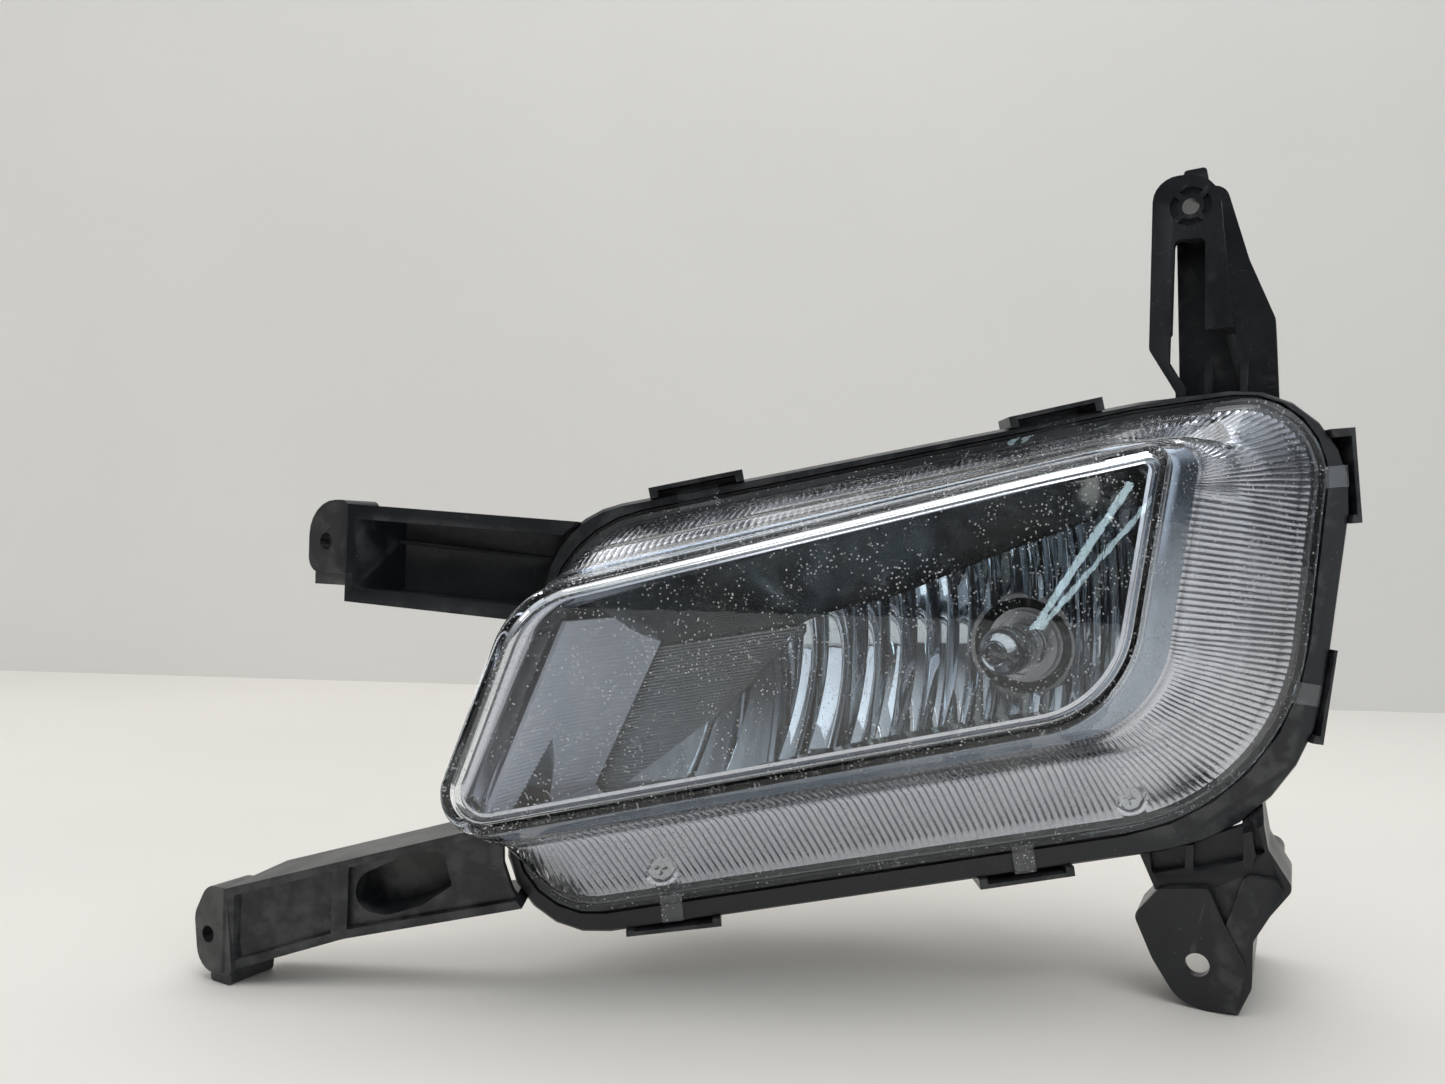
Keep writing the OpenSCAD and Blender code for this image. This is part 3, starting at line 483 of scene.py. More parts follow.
def clear_plastic(name, tint, ior=1.5, dust=0.5, film=0.02, haze=0.0, rough=0.0):
    """Clear moulding that lets the lamps through, with dust specks and a faint film on it."""
    n = Nodes(name)
    glass = n.add("BsdfGlass")
    n.set(glass.inputs["Color"], tint)
    glass.inputs["Roughness"].default_value = rough
    glass.inputs["IOR"].default_value = ior
    fine = n.noise(240.0, 2.0)
    lines = scratches(n, 26.0, (10.0, 150.0, 10.0), (0.2, 0.8, 0.4), 0.68, 0.74)
    normal = n.bump(fine, 0.015, 0.0002)
    normal = n.bump(lines, 0.12, 0.00006, normal)
    n.link(normal, glass.inputs["Normal"])
    clear = n.add("BsdfTransparent")
    n.set(clear.inputs["Color"], tuple(c * 0.97 for c in tint))
    passing = n.add("LightPath").outputs["Is Shadow Ray"]
    body = n.mix(passing, glass.outputs[0], clear.outputs[0])
    small = n.remap(n.cells(900.0), 0.24, 0.11)
    small = n.math("MULTIPLY", small, n.remap(n.noise(150.0, 4.0), 0.42, 0.58))
    big = n.remap(n.cells(360.0), 0.10, 0.05)
    big = n.math("MULTIPLY", big, n.remap(n.noise(70.0, 3.0), 0.50, 0.62))
    cover = n.math("MAXIMUM", n.math("MULTIPLY", small, 0.8), big)
    cover = n.math("MULTIPLY", cover, dust)
    cloud = n.math("MULTIPLY", n.remap(n.noise(26.0, 5.0, 0.65), 0.38, 0.75), film)
    cover = n.math("MAXIMUM", cover, n.math("ADD", cloud, haze))
    powder = n.surface((0.72, 0.72, 0.70), 0.85)
    return n.done(n.mix(cover, body, powder))


BLACK = moulded_plastic(
    "black_moulded_plastic", (0.0055, 0.0065, 0.009), (0.012, 0.0135, 0.017), 0.27, 0.4, 0.00004
)
RUBBER = moulded_plastic(
    "soft_black_rubber", (0.006, 0.006, 0.007), (0.014, 0.014, 0.015), 0.5, 0.7, 0.00003, 0.2
)
BASE = moulded_plastic(
    "bulb_base_plastic", (0.02, 0.02, 0.022), (0.035, 0.034, 0.033), 0.42, 0.6, 0.00004, 0.2
)
NYLON = moulded_plastic("natural_nylon", (0.62, 0.60, 0.54), (0.72, 0.70, 0.64), 0.35, 0.5, 0.00003, 0.1)
LENS = clear_plastic("clear_lens_plastic", (0.975, 0.985, 0.995), dust=0.9, film=0.02)
GLASS = clear_plastic("bulb_capsule_glass", (0.97, 0.985, 1.0), ior=1.5, dust=0.1, film=0.0)
SILVER = bright_metal("silver_painted_frame", (0.66, 0.665, 0.71), (0.75, 0.75, 0.785), 0.13, 0.22, dust=0.3)
CHROME = bright_metal(
    "bright_reflector_coat", (0.52, 0.57, 0.60), (0.60, 0.64, 0.67), 0.03, 0.08, 0.00006, 0.35
)
# Paler, mostly diffuse copy of the frame's silver for the ribbed side panel: its extra brightness is a
# painted highlight standing in for what the bright panel reflects.
PANEL_PAINTED_HIGHLIGHT = bright_metal(
    "ribbed_panel_painted_highlight", (0.80, 0.82, 0.90), (0.88, 0.89, 0.95), 0.3, 0.4, dust=0.3, metal=0.2
)
# Darker, bluer copy of the frame's silver on the smooth wall beside the window: the darkening is a painted
# dark reflection.
FRAME_WALL_PAINTED_SHADE = bright_metal("smooth_frame_wall_painted_shade", (0.30, 0.345, 0.41), (0.38, 0.42, 0.48), 0.1, 0.18, dust=0.3)
# Darker copy of the reflector's bright coat on the neck round the bulb hole: the satin finish is real, the
# darker colour is painted shade.
NECK_PAINTED_SHADE = bright_metal("satin_neck_coat_painted_shade", (0.26, 0.265, 0.27), (0.36, 0.365, 0.37), 0.2, 0.32, dust=0.1)
# Darker copy of the reflector's bright coat for its roof and step wall: the rougher satin finish is real, the
# darker colour is a painted dark reflection.
ROOF_PAINTED_SHADE = bright_metal("satin_reflector_roof_painted_shade", (0.23, 0.245, 0.24), (0.30, 0.315, 0.31), 0.16, 0.26, dust=0.25)
# Darker copy of the reflector's bright coat for the ribbed wing: the satin finish is real, the darker colour
# is a painted dark reflection.
WING_PAINTED_SHADE = bright_metal("ribbed_reflector_wing_painted_shade", (0.27, 0.29, 0.295), (0.34, 0.36, 0.365), 0.2, 0.3, dust=0.25)
STEEL = bright_metal("zinc_plated_steel", (0.5, 0.5, 0.51), (0.62, 0.62, 0.62), 0.22, 0.42, dust=0.1)
GOLD_ZINC = bright_metal(
    "yellow_passivated_steel", (0.62, 0.55, 0.33), (0.7, 0.63, 0.42), 0.25, 0.42, dust=0.1
)
TINNED = bright_metal("tinned_brass", (0.68, 0.64, 0.5), (0.78, 0.75, 0.64), 0.2, 0.35, dust=0.05)
WIRE = bright_metal("drawn_tungsten", (0.2, 0.2, 0.21), (0.32, 0.32, 0.33), 0.3, 0.5, dust=0.0)


def membrane_material():
    n = Nodes("porous_vent_sheet")
    weave = n.cells(2600.0)
    colour = n.colours(n.remap(weave, 0.1, 0.6), (0.58, 0.58, 0.56), (0.8, 0.8, 0.78))
    return n.done(n.surface(colour, 0.9, 0.0, n.bump(weave, 0.5, 0.0001)))


MEMBRANE = membrane_material()


# ---------------------------------------------------------------- camera

scene = bpy.context.scene
camera_data = bpy.data.cameras.new("camera")
camera_data.sensor_width = 36
camera_data.sensor_fit = "HORIZONTAL"
camera_data.lens = 36 * 1085 / 1445
camera_data.clip_start, camera_data.clip_end = 0.01, 20
camera_data.dof.use_dof = False
camera = bpy.data.objects.new("camera", camera_data)
scene.collection.objects.link(camera)
look = Vector(INTO)
side = Vector(ACROSS)
roll = math.radians(1.7)
right = side * math.cos(roll) + Vector(UP) * math.sin(roll)
upward = Vector(UP) * math.cos(roll) - side * math.sin(roll)
camera.matrix_world = Matrix((
    (right.x, upward.x, -look.x, 0),
    (right.y, upward.y, -look.y, 0),
    (right.z, upward.z, -look.z, 0),
    (0, 0, 0, 1),
))
camera.location = Vector(face(-79.7, 24.7, -285))
scene.camera = camera

# ---------------------------------------------------------------- floor, wall and lamps

floor_z = cad_low.z


def stage_material(name, base, shade, rough):
    n = Nodes(name)
    cloud = n.noise(3.0, 4.0, 0.5)
    colour = n.colours(n.remap(cloud, 0.3, 0.7), base, shade)
    return n.done(n.surface(colour, rough, 0.0, n.bump(n.noise(900.0, 2.0), 0.05, 0.0002)))


def stage_sheet(name, path, width, material):
    """A sheet swept sideways along a path of (depth, height) points."""
    centre = face(-79.7, 24.7, -285)
    rows = []
    for depth, height in path:
        for s in (-1, 1):
            p = centre + INTO * depth + ACROSS * s * width
            rows.append((p[0], p[1], height))
    faces = [(2 * i, 2 * i + 1, 2 * i + 3, 2 * i + 2) for i in range(len(path) - 1)]
    mesh = bpy.data.meshes.new(name)
    mesh.from_pydata(rows, [], faces)
    mesh.materials.append(material)
    mesh.polygons.foreach_set("use_smooth", [True] * len(faces))
    obj = bpy.data.objects.new(name, mesh)
    scene.collection.objects.link(obj)
    return obj


table = stage_material("pale_table", (0.75, 0.725, 0.68), (0.71, 0.685, 0.645), 0.55)
wall = stage_material("pale_wall", (0.80, 0.79, 0.765), (0.77, 0.76, 0.74), 0.75)
stage_sheet("floor", [(-1.2, floor_z), (0.78, floor_z)], 2.2, table)
stage_sheet("wall", [(0.78, floor_z - 0.002), (0.78, floor_z + 1.6)], 2.2, wall)


def area_light(name, place, target, size, power, colour=(1, 1, 1)):
    data = bpy.data.lights.new(name, "AREA")
    data.shape = "RECTANGLE"
    data.size, data.size_y = size
    data.energy = power
    data.color = colour
    obj = bpy.data.objects.new(name, data)
    obj.location = place
    obj.rotation_mode = "QUATERNION"
    obj.rotation_quaternion = (Vector(target) - Vector(place)).to_track_quat("-Z", "Y")
    scene.collection.objects.link(obj)
    return obj


centre = Vector(face(-40, 0, -20))
area_light("top_soft", centre + Vector((0.05, 0.05, 1.1)), centre, (1.5, 1.1), 12, (1.0, 0.99, 0.97))
area_light("side_soft", centre + Vector((1.0, -0.35, 0.35)), centre, (0.5, 0.8), 1.4, (0.9, 0.95, 1.0))
area_light("left_soft", centre + Vector((-1.0, -0.5, 0.4)), centre, (0.4, 0.7), 1.8, (1.0, 0.98, 0.95))


def mirrored_tube(name, start, end, power, width=0.012, reach=1500.0):
    """A light tube behind the camera, placed by where the flat window mirrors it. The two ends are
    slopes across and up from the camera's axis."""
    ends = []
    for across, up in (start, end):
        u, v, w = -79.7 + across * reach, 24.7 + up * reach, -285 + reach
        ends.append(Vector(face(u, v, 2 * WINDOW_W - w)))
    middle = (ends[0] + ends[1]) / 2
    target = Vector(face(-40, 10, WINDOW_W))
    lamp_light = area_light(name, middle, target, (1, width), power, (0.72, 0.93, 1.0))
    along = (ends[1] - ends[0]).normalized()
    facing = (target - middle).normalized()
    across = facing.cross(along).normalized()
    facing = along.cross(across).normalized()
    lamp_light.rotation_mode = "XYZ"
    lamp_light.matrix_world = Matrix((
        (along.x, -across.x, -facing.x, middle.x),
        (along.y, -across.y, -facing.y, middle.y),
        (along.z, -across.z, -facing.z, middle.z),
        (0, 0, 0, 1),
    ))
    lamp_light.data.size = (ends[1] - ends[0]).length
    return lamp_light


mirrored_tube("tube_left", (-0.150, -0.092), (0.079, -0.096), 0.05, 0.010)
mirrored_tube("tube_right_a", (0.375, 0.066), (0.283, -0.082), 0.05, 0.010)
mirrored_tube("tube_right_b", (0.402, 0.060), (0.272, -0.100), 0.035, 0.007)

world = bpy.data.worlds.new("room")
world.use_nodes = True
scene.world = world
tree = world.node_tree
tree.nodes.clear()
sky_out = tree.nodes.new("ShaderNodeOutputWorld")
sky = tree.nodes.new("ShaderNodeBackground")
where = tree.nodes.new("ShaderNodeTexCoord")
split = tree.nodes.new("ShaderNodeSeparateXYZ")
tree.links.new(where.outputs["Generated"], split.inputs[0])
height = tree.nodes.new("ShaderNodeMapRange")
height.interpolation_type = "SMOOTHSTEP"
tree.links.new(split.outputs["Z"], height.inputs["Value"])
height.inputs["From Min"].default_value = 0.12
height.inputs["From Max"].default_value = 0.8
height.inputs["To Min"].default_value = 0.045
height.inputs["To Max"].default_value = 0.72
tree.links.new(height.outputs["Result"], sky.inputs["Strength"])
sky.inputs["Color"].default_value = (0.9, 0.95, 1.0, 1)
tree.links.new(sky.outputs[0], sky_out.inputs["Surface"])
scene.view_settings.view_transform = "Standard"

# ---------------------------------------------------------------- CAD nodes with rounded edges

BEVELLED = {
    "housing": ("lamp", BLACK, 0.35, 32),
    "arm_upper_inner": ("lamp", BLACK, 0.45, 25),
    "arm_lower_inner": ("lamp", BLACK, 0.45, 25),
    "arm_upper_outer": ("lamp", BLACK, 0.4, 25),
    "arm_lower_outer": ("lamp", BLACK, 0.45, 25),
    "bulb_base": ("bulb", BASE, 0.25, 30),
    "vent_cap": ("lamp", BLACK, 0.2, 30),
    "aim_screw": ("aim_screw", GOLD_ZINC, 0.15, 30),
    "aim_nut": ("reflector", NYLON, 0.2, 30),
}


def rounded_copy(node, body, material, width, angle):
    """The CAD node's own shape with its edges rounded, as moulded parts have."""
    mesh = NODES[node].data.copy()
    mesh.materials.clear()
    bm = bmesh.new()
    bm.from_mesh(mesh)
    bmesh.ops.remove_doubles(bm, verts=bm.verts, dist=2e-6)
    bmesh.ops.dissolve_limit(
        bm, angle_limit=math.radians(1.0), use_dissolve_boundaries=False, verts=bm.verts, edges=bm.edges
    )
    bm.to_mesh(mesh)
    bm.free()
    mesh.name = node + "_rounded"
    piece = finish_piece(node + "_detailed", mesh, material, body, node, angle=35)
    bevel = piece.modifiers.new("edges", "BEVEL")
    bevel.width = width * MM
    bevel.segments = 2
    bevel.limit_method = "ANGLE"
    bevel.angle_limit = math.radians(angle)
    bevel.use_clamp_overlap = True
    bevel.harden_normals = True
    return piece


for node, (body, material, width, angle) in BEVELLED.items():
    rounded_copy(node, body, material, width, angle)

KEPT = {
    "lens_sealant": RUBBER, "bezel_screws": STEEL, "reflector_pivot_pins": STEEL,
    "aim_screw_clip": STEEL, "aim_screw_o_ring": RUBBER, "bulb_terminals": TINNED,
    "bulb_o_ring": RUBBER, "vent_membrane": MEMBRANE, "bulb_collar": STEEL,
}
for node, material in KEPT.items():
    slots = NODES[node].material_slots
    for s in slots:
        s.material = material

# ---------------------------------------------------------------- lens

FLUTE_PITCH = 1.5
PER_FLUTE = 6
FLUTE_DEPTH = 0.12
LENS_WALL = 1.5


def flute_columns():
    """Start points and directions of the lens's columns, seen along the lamp's axis, at equal flute steps."""
    inside = grown(seen_ahead(WINDOW, WINDOW_W), -7)
    origins, directions = dense(inside, 0.25, 50)
    middle = cast(origins, directions, polyline_ahead(between(STEP, RIM, 0.5), (STEP_W + RIM_W) / 2))
    steps = np.linalg.norm(np.roll(middle, -1, axis=0) - middle, axis=1)
    along = np.concatenate([[0], np.cumsum(steps)])
    flutes = int(round(along[-1] / FLUTE_PITCH))
    count = flutes * PER_FLUTE
    places = np.linspace(0, along[-1], count, endpoint=False)
    spots = np.concatenate([np.arange(len(origins)), [len(origins)]])
    at = np.interp(places, along, spots)
    low = at.astype(int) % len(origins)
    high = (low + 1) % len(origins)
    t = (at - at.astype(int))[:, None]
    o = origins[low] * (1 - t) + origins[high] * t
    d = directions[low] * (1 - t) + directions[high] * t
    return o, d / np.linalg.norm(d, axis=1)[:, None], count


def station(columns, shape, w):
    """The points where the columns meet one ring of the lens, in the row frame."""
    origins, directions, _ = columns
    hit = cast(origins, directions, polyline_ahead(shape, w))
    u = (hit[:, 0] + math.sin(YAW) * w) / math.cos(YAW)
    return BULB + (np.outer(u, ACROSS) + np.outer(hit[:, 1], UP) + np.full((len(u), 1), w) * INTO) * MM


def stations(columns, stops, cuts):
    rows = []
    for (a, wa), (b, wb), n in zip(stops, stops[1:], cuts):
        for k in range(n):
            t = k / n
            rows.append(station(columns, between(a, b, t), wa + (wb - wa) * t))
    rows.append(station(columns, *stops[-1]))
    return rows


def fluted(rows, strengths):
    """Moves the points of each row across the surface by the flutes' profile."""
    grid = np.stack(rows)
    count = grid.shape[1]
    phase = (np.arange(count) % PER_FLUTE) / PER_FLUTE
    ridge = np.sqrt(np.clip(1 - (2 * phase - 1) ** 2, 0, 1))
    along = np.gradient(grid, axis=0)
    across = np.roll(grid, -1, axis=1) - np.roll(grid, 1, axis=1)
    normal = np.cross(along, across)
    normal /= np.linalg.norm(normal, axis=2)[:, :, None] + 1e-12
    middle = grid.mean(axis=(0, 1))
    sense = np.sign(((grid - middle) * normal).sum(axis=2).mean())
    normal *= sense
    depth = np.asarray(strengths)[:, None] * ridge[None, :] * FLUTE_DEPTH * MM
    return grid - normal * depth[:, :, None]


LOOPS = [
    (-86, 36.6, 13, 3.6), (0, 56.4, 14, 4), (69.4, 45, -84, 6), (64.2, -8, -97, 5.7),
    (-4.5, -51.8, 190, 6.4), (-89, -66, 188, 6.4),
]


def tab_block(u, v, slope, start):
    """One of the lens's tabs, held by a loop of the housing."""
    s = math.radians(slope)
    along = ACROSS * math.cos(s) + UP * math.sin(s)
    out = UP * math.cos(s) - ACROSS * math.sin(s)
    half = 5 if start < 5 else 2.6
    corners = []
    for c in (-start, 1.0):
        for b in (RIM_W - 0.9, RIM_W - 0.25):
            for a in (-half, half):
                corners.append(face(u, v, 0) + (along * a + INTO * b + out * c) * MM)
    faces = [(0, 2, 3, 1), (4, 5, 7, 6), (0, 1, 5, 4), (2, 6, 7, 3), (0, 4, 6, 2), (1, 3, 7, 5)]
    return np.array(corners), faces


def build_lens():
    columns = flute_columns()
    t = LENS_WALL
    outer_stops = [
        (grown(WINDOW, -3.6), WINDOW_W + 0.45), (grown(WINDOW, -3.0), WINDOW_W + 0.45),
        (grown(WINDOW, -2.6), WINDOW_W), (grown(WINDOW, -0.9), WINDOW_W),
        (grown(WINDOW, -0.2), WINDOW_W + 0.3),
        (grown(WINDOW, 0.3), WINDOW_W + 1.0), (WALL, WALL_W), (grown(WALL, 0.5), WALL_W + 0.4),
        (STEP, STEP_W), (grown(STEP, 0.4), STEP_W + 0.4), (grown(RIM, 0.2), RIM_W - 1.2),
        (grown(RIM, 2.1), RIM_W - 0.9),
    ]
    outer = stations(columns, outer_stops, [1, 2, 1, 2, 2, 3, 1, 4, 1, 10, 1])
    inner_stops = [
        (grown(RIM, 2.1), GROOVE_W - 2.2), (grown(RIM, 0.4), GROOVE_W - 2.2), (grown(RIM, 0.4), RIM_W + 0.6),
        (grown(RIM, 0.4 - t), RIM_W - 1.2 + t), (grown(STEP, -t), STEP_W + t),
        (grown(WALL, 0.2 - t), WALL_W + t + 0.2), (grown(WALL, -0.5 - t), WALL_W + t - 0.6),
        (grown(WINDOW, -t), WINDOW_W + t + 0.9), (grown(WINDOW, -t - 1.0), WINDOW_W + t + 0.1),
        (grown(WINDOW, -4.2), WINDOW_W + t + 0.1),
    ]
    cuts = [1, 1, 2, 12, 6, 1, 3, 2, 1]
    inner = stations(columns, inner_stops, cuts)
    strengths = [0.0] * (1 + 1 + 2) + [1.0] * 12 + [1.0] * 6 + [0.3] + [0.0] * 3 + [0.0] * 2 + [0.0] * 2
    strengths[4] = 0.4
    strengths[15], strengths[16] = 0.55, 0.55
    inner = list(fluted(inner, strengths))
    rings = outer + inner
    tabs = [tab_block(*place) for place in LOOPS]
    points, faces = skin(rings, caps=False)
    n = len(rings[0])
    last = (len(rings) - 1) * n
    faces.append(tuple(range(n - 1, -1, -1)))
    faces.append(tuple(last + i for i in range(n)))
    points, faces = joined([(points, faces)] + tabs)
    lens = make("lens_moulding", points, faces, LENS, "lamp", "lens", slot="clear_plastic", angle=50)
    return lens


build_lens()

# ---------------------------------------------------------------- bezel

SCREWS = [(-92.2, -53.7), (20, -33.5), (36, 53.5)]
SEAT_W = -21.2


def face_circle(u, v, w, r, steps=40):
    return np.array([
        face(u + r * math.cos(2 * math.pi * k / steps), v + r * math.sin(2 * math.pi * k / steps), w)
        for k in range(steps)
    ])


def face_rod(u, v, start, end, r):
    return skin([face_circle(u, v, start, r), face_circle(u, v, end, r)])


def face_tube(u, v, start, end, inner, outer):
    return skin([
        face_circle(u, v, start, inner), face_circle(u, v, start + 0.3, inner - 0.25),
        face_circle(u, v, end - 1.5, inner - 0.25), face_circle(u, v, end - 1.5, 1.8),
        face_circle(u, v, end, 1.8), face_circle(u, v, end, outer), face_circle(u, v, start, outer),
    ], loop=True)


def carve(piece, shape):
    """Cuts a closed shape out of a piece's mesh."""
    mesh = bpy.data.meshes.new("cutter")
    mesh.from_pydata([tuple(p) for p in shape[0]], [], shape[1])
    bm = bmesh.new()
    bm.from_mesh(mesh)
    bmesh.ops.recalc_face_normals(bm, faces=bm.faces)
    bm.to_mesh(mesh)
    bm.free()
    cutter = bpy.data.objects.new("cutter", mesh)
    scene.collection.objects.link(cutter)
    cut = piece.modifiers.new("cut", "BOOLEAN")
    cut.operation, cut.solver, cut.object = "DIFFERENCE", "EXACT", cutter
    cut.use_self = True
    bpy.context.view_layer.update()
    result = bpy.data.meshes.new_from_object(piece.evaluated_get(bpy.context.evaluated_depsgraph_get()))
    piece.modifiers.clear()
    result.set_sharp_from_angle(angle=math.radians(30))
    piece.data = result
    bpy.data.objects.remove(cutter)
    bpy.data.meshes.remove(mesh)


def build_bezel():
    inner_edge = grown(WINDOW, -3.6)
    gap, thick = 2.5, 1.2
    front = [
        (OPENING, -38.6), (OPENING, -39.6), (grown(OPENING, 0.3), -40.0),
        (between(OPENING, inner_edge, 0.45), -42.2), (between(OPENING, inner_edge, 0.62), -43.9),
        (between(OPENING, inner_edge, 0.8), -44.5), (grown(WINDOW, -4.0), -44.6),
        (grown(WINDOW, -3.3), -44.2), (grown(WINDOW, -3.0), -43.4),
        (grown(WALL, -gap), WALL_W + gap + 0.2), (grown(STEP, -gap), STEP_W + gap + 0.2),
        (grown(RIM, -2.1), -21.8), (grown(RIM, -2.1), -19),
    ]
    back = [
        (grown(RIM, -2.6 - thick), -19), (grown(RIM, -2.6 - thick), -21),
        (grown(STEP, -gap - thick), STEP_W + gap + 0.2 + thick),
        (grown(WALL, -gap - 1.5), WALL_W + gap + 0.2 + thick), (grown(OPENING, 0.8), -37.9),
    ]
    rings = [ring(s, w, 24) for s, w in front + back]
    points, faces = skin(rings, loop=True)
    frame_piece = make(
        "bezel_frame", points, faces, SILVER, "lamp", "inner_bezel", slot="silver_plastic", angle=30
    )
    holes = []
    cups = []
    for u, v in SCREWS:
        holes.append(face_rod(u, v, -40, SEAT_W, 3.5))
        holes.append(face_rod(u, v, SEAT_W - 1, -15, 1.7))
        cups.append(face_tube(u, v, SEAT_W - 2.2, SEAT_W + 1.5, 3.4, 4.3))
    carve(frame_piece, joined(holes))
    points, faces = joined(cups)
    make("bezel_screw_cups", points, faces, SILVER, "lamp", slot="silver_plastic", angle=30)
    return frame_piece


build_bezel()


CUP_OPENING_R = 4.0


def skirt_shell(name, columns, outer_stops, inner_stops, cuts, strengths, material):
    """A thin shell over the frame's skirt, ribbed by the given strengths and open round the screw cups."""
    outer = fluted(stations(columns, outer_stops, cuts), strengths)
    inner = np.stack(stations(columns, inner_stops, cuts))
    rows, count = outer.shape[0], outer.shape[1]
    middle = (outer + np.roll(outer, -1, axis=1)) / 2
    u = ((middle - BULB) / MM) @ ACROSS
    v = ((middle - BULB) / MM) @ UP
    total = rows * count
    faces, uses = [], {}
    for j in range(rows - 1):
        for i in range(count):
            if any(math.hypot(u[j, i] - a, v[j, i] - b) < CUP_OPENING_R for a, b in SCREWS):
                continue
            k = (i + 1) % count
            quad = (j * count + i, j * count + k, (j + 1) * count + k, (j + 1) * count + i)
            faces.append(quad)
            faces.append(tuple(total + q for q in reversed(quad)))
            for p, q in zip(quad, quad[1:] + quad[:1]):
                uses.setdefault((min(p, q), max(p, q)), []).append((p, q))
    for found in uses.values():
        if len(found) == 1:
            p, q = found[0]
            faces.append((q, p, total + p, total + q))
    points = np.concatenate([outer.reshape(-1, 3), inner.reshape(-1, 3)])
    make(name, points, faces, material, "lamp", slot="silver_plastic", angle=50)


def build_skirt():
    columns = flute_columns()
    wall_stops = [(grown(WINDOW, -2.7), WINDOW_W + 5.8), (grown(WALL, -2.15), WALL_W + 2.2)]
    wall_back = [(grown(WINDOW, -3.3), WINDOW_W + 6.0), (grown(WALL, -2.9), WALL_W + 2.9)]
    # The smooth wall gets the darker copy of the silver, a painted dark reflection.
    skirt_shell("bezel_smooth_wall", columns, wall_stops, wall_back, [6], [0.0] * 7, FRAME_WALL_PAINTED_SHADE)
    outer_stops = [
        (grown(WALL, -2.2), WALL_W + 2.5), (grown(STEP, -2.2), STEP_W + 2.5), (grown(RIM, -1.8), -22.1),
    ]
    inner_stops = [
        (grown(WALL, -3.1), WALL_W + 3.3), (grown(STEP, -3.1), STEP_W + 3.3), (grown(RIM, -2.7), -21.3),
    ]
    strengths = [0.0, 0.8, 1.2, 1.2, 1.2] + [2.6] * 12 + [0.0]
    skirt_shell("bezel_ribbed_skirt", columns, outer_stops, inner_stops, [5, 12], strengths, SILVER)


build_skirt()

# ---------------------------------------------------------------- bright side panel with fine ribs, its pale coat partly a painted highlight

def wing_y(x, z):
    return -23.9 + 0.188 * z + 0.2685 * x


def build_panel():
    per_rib, ribs = 4, 46
    z0, z1 = -40.0, 5.5
    grid = []
    for k in range(ribs * per_rib + 1):
        z = z0 + (z1 - z0) * k / (ribs * per_rib)
        x = -99.0 + (z + 40.0) * 0.3326
        ridge = 0.16 * abs(math.sin(math.pi * k / per_rib))
        front = (-37.0 + math.sin(YAW) * x) / math.cos(YAW)
        back = max(wing_y(x + 4.5, z) - 2.4, front + 2.0)
        spots = (0, 0.25, 0.5, 0.65, 0.8, 0.9, 1)
        grid.append([(x + ridge + 4.5 * t ** 4, front + (back - front) * t, z) for t in spots])
    # The panel's pale coat is a painted highlight over its silver finish.
    return slab("ribbed_panel", grid, (-1.4, 0, 0), PANEL_PAINTED_HIGHLIGHT, "lamp", "side_panel", angle=60)


build_panel()

# ---------------------------------------------------------------- reflector

VERTEX_Y = 2.6
FOCAL_LENGTH = 15.0
BULB_HOLE_R = 12.5
FACET_FRONT_W = -34.6


def bowl_y(x, z):
    return VERTEX_Y - (x * x + z * z) / (4 * FOCAL_LENGTH)


def front_y(x, w):
    return (w + math.sin(YAW) * x) / math.cos(YAW)


# Upright edges of the facets, as x.
FACETS = [
    -61, -54.5, -47.5, -43, -36, -31.5, -26, -20.5, -16.5, -11, -5.5, 0, 5, 10.5, 14.5, 20, 25, 29, 32.6,
]


def facet_rise(x):
    """How far a facet stands forward of the bowl: a shallow upright barrel with a step at its edge."""
    if x <= FACETS[0]:
        return 0.0
    for i in range(len(FACETS) - 1):
        a, b = FACETS[i], FACETS[i + 1]
        if a <= x <= b:
            t = (x - a) / (b - a)
            lift = (0.9, 0.35, 0.7)[i % 3]
            return lift * (1 - (2 * t - 1) ** 2) + (0.55 if i % 2 else 0.0)
    return 0.0


# The facets' top edge, their slanted inner edge and the wing's top edge.
TOP_X = [-47.9, -44.3, -31.4, -15.3, -2.3, 19.4, 32.6]
TOP_Z = [4.5, 7.0, 11.3, 19.2, 24.8, 32.5, 36.6]
EDGE_X = -59.5
EDGE_SLOPE = 1.92
WING_TOP = [(-86.4, -3.5), (-47.9, 4.5)]


def floor_z_at(x):
    return -38.2 + 27.2 * (x + 93) / 125.5


def facet_top(x):
    if x < TOP_X[0]:
        return TOP_Z[0] + (x - TOP_X[0]) * EDGE_SLOPE
    return float(np.interp(x, TOP_X, TOP_Z))


ROOF_FRONT_W = -31.0


def roof_front(x):
    """The roof's front edge, just above the frame's opening and far enough back to tilt under the frame."""
    u = x / math.cos(YAW) + ROOF_FRONT_W * math.tan(YAW)
    height = np.interp(u, [-118, -112, -60, -50, -40, 17.5], [8.0, 10.0, 25.7, 28.6, 31.2, 45.4])
    return (x, front_y(x, ROOF_FRONT_W), float(height))


def build_facets():
    xs = []
    for a, b in zip([EDGE_X] + FACETS[1:], FACETS[1:]):
        xs += list(np.linspace(a + 0.02, b - 0.02, 9))
    grid = []
    for x in xs:
        low, high = floor_z_at(x), facet_top(x)
        column = []
        for j in range(91):
            z = low + (high - low) * j / 90
            column.append((x, max(front_y(x, FACET_FRONT_W), bowl_y(x, z) - facet_rise(x)), z))
        grid.append(column)
    return slab("reflector_facets", grid, (0, 1.8, 0), CHROME, "reflector", "reflector", angle=28,
                skip=lambda x, z: math.hypot(x, z) < BULB_HOLE_R)


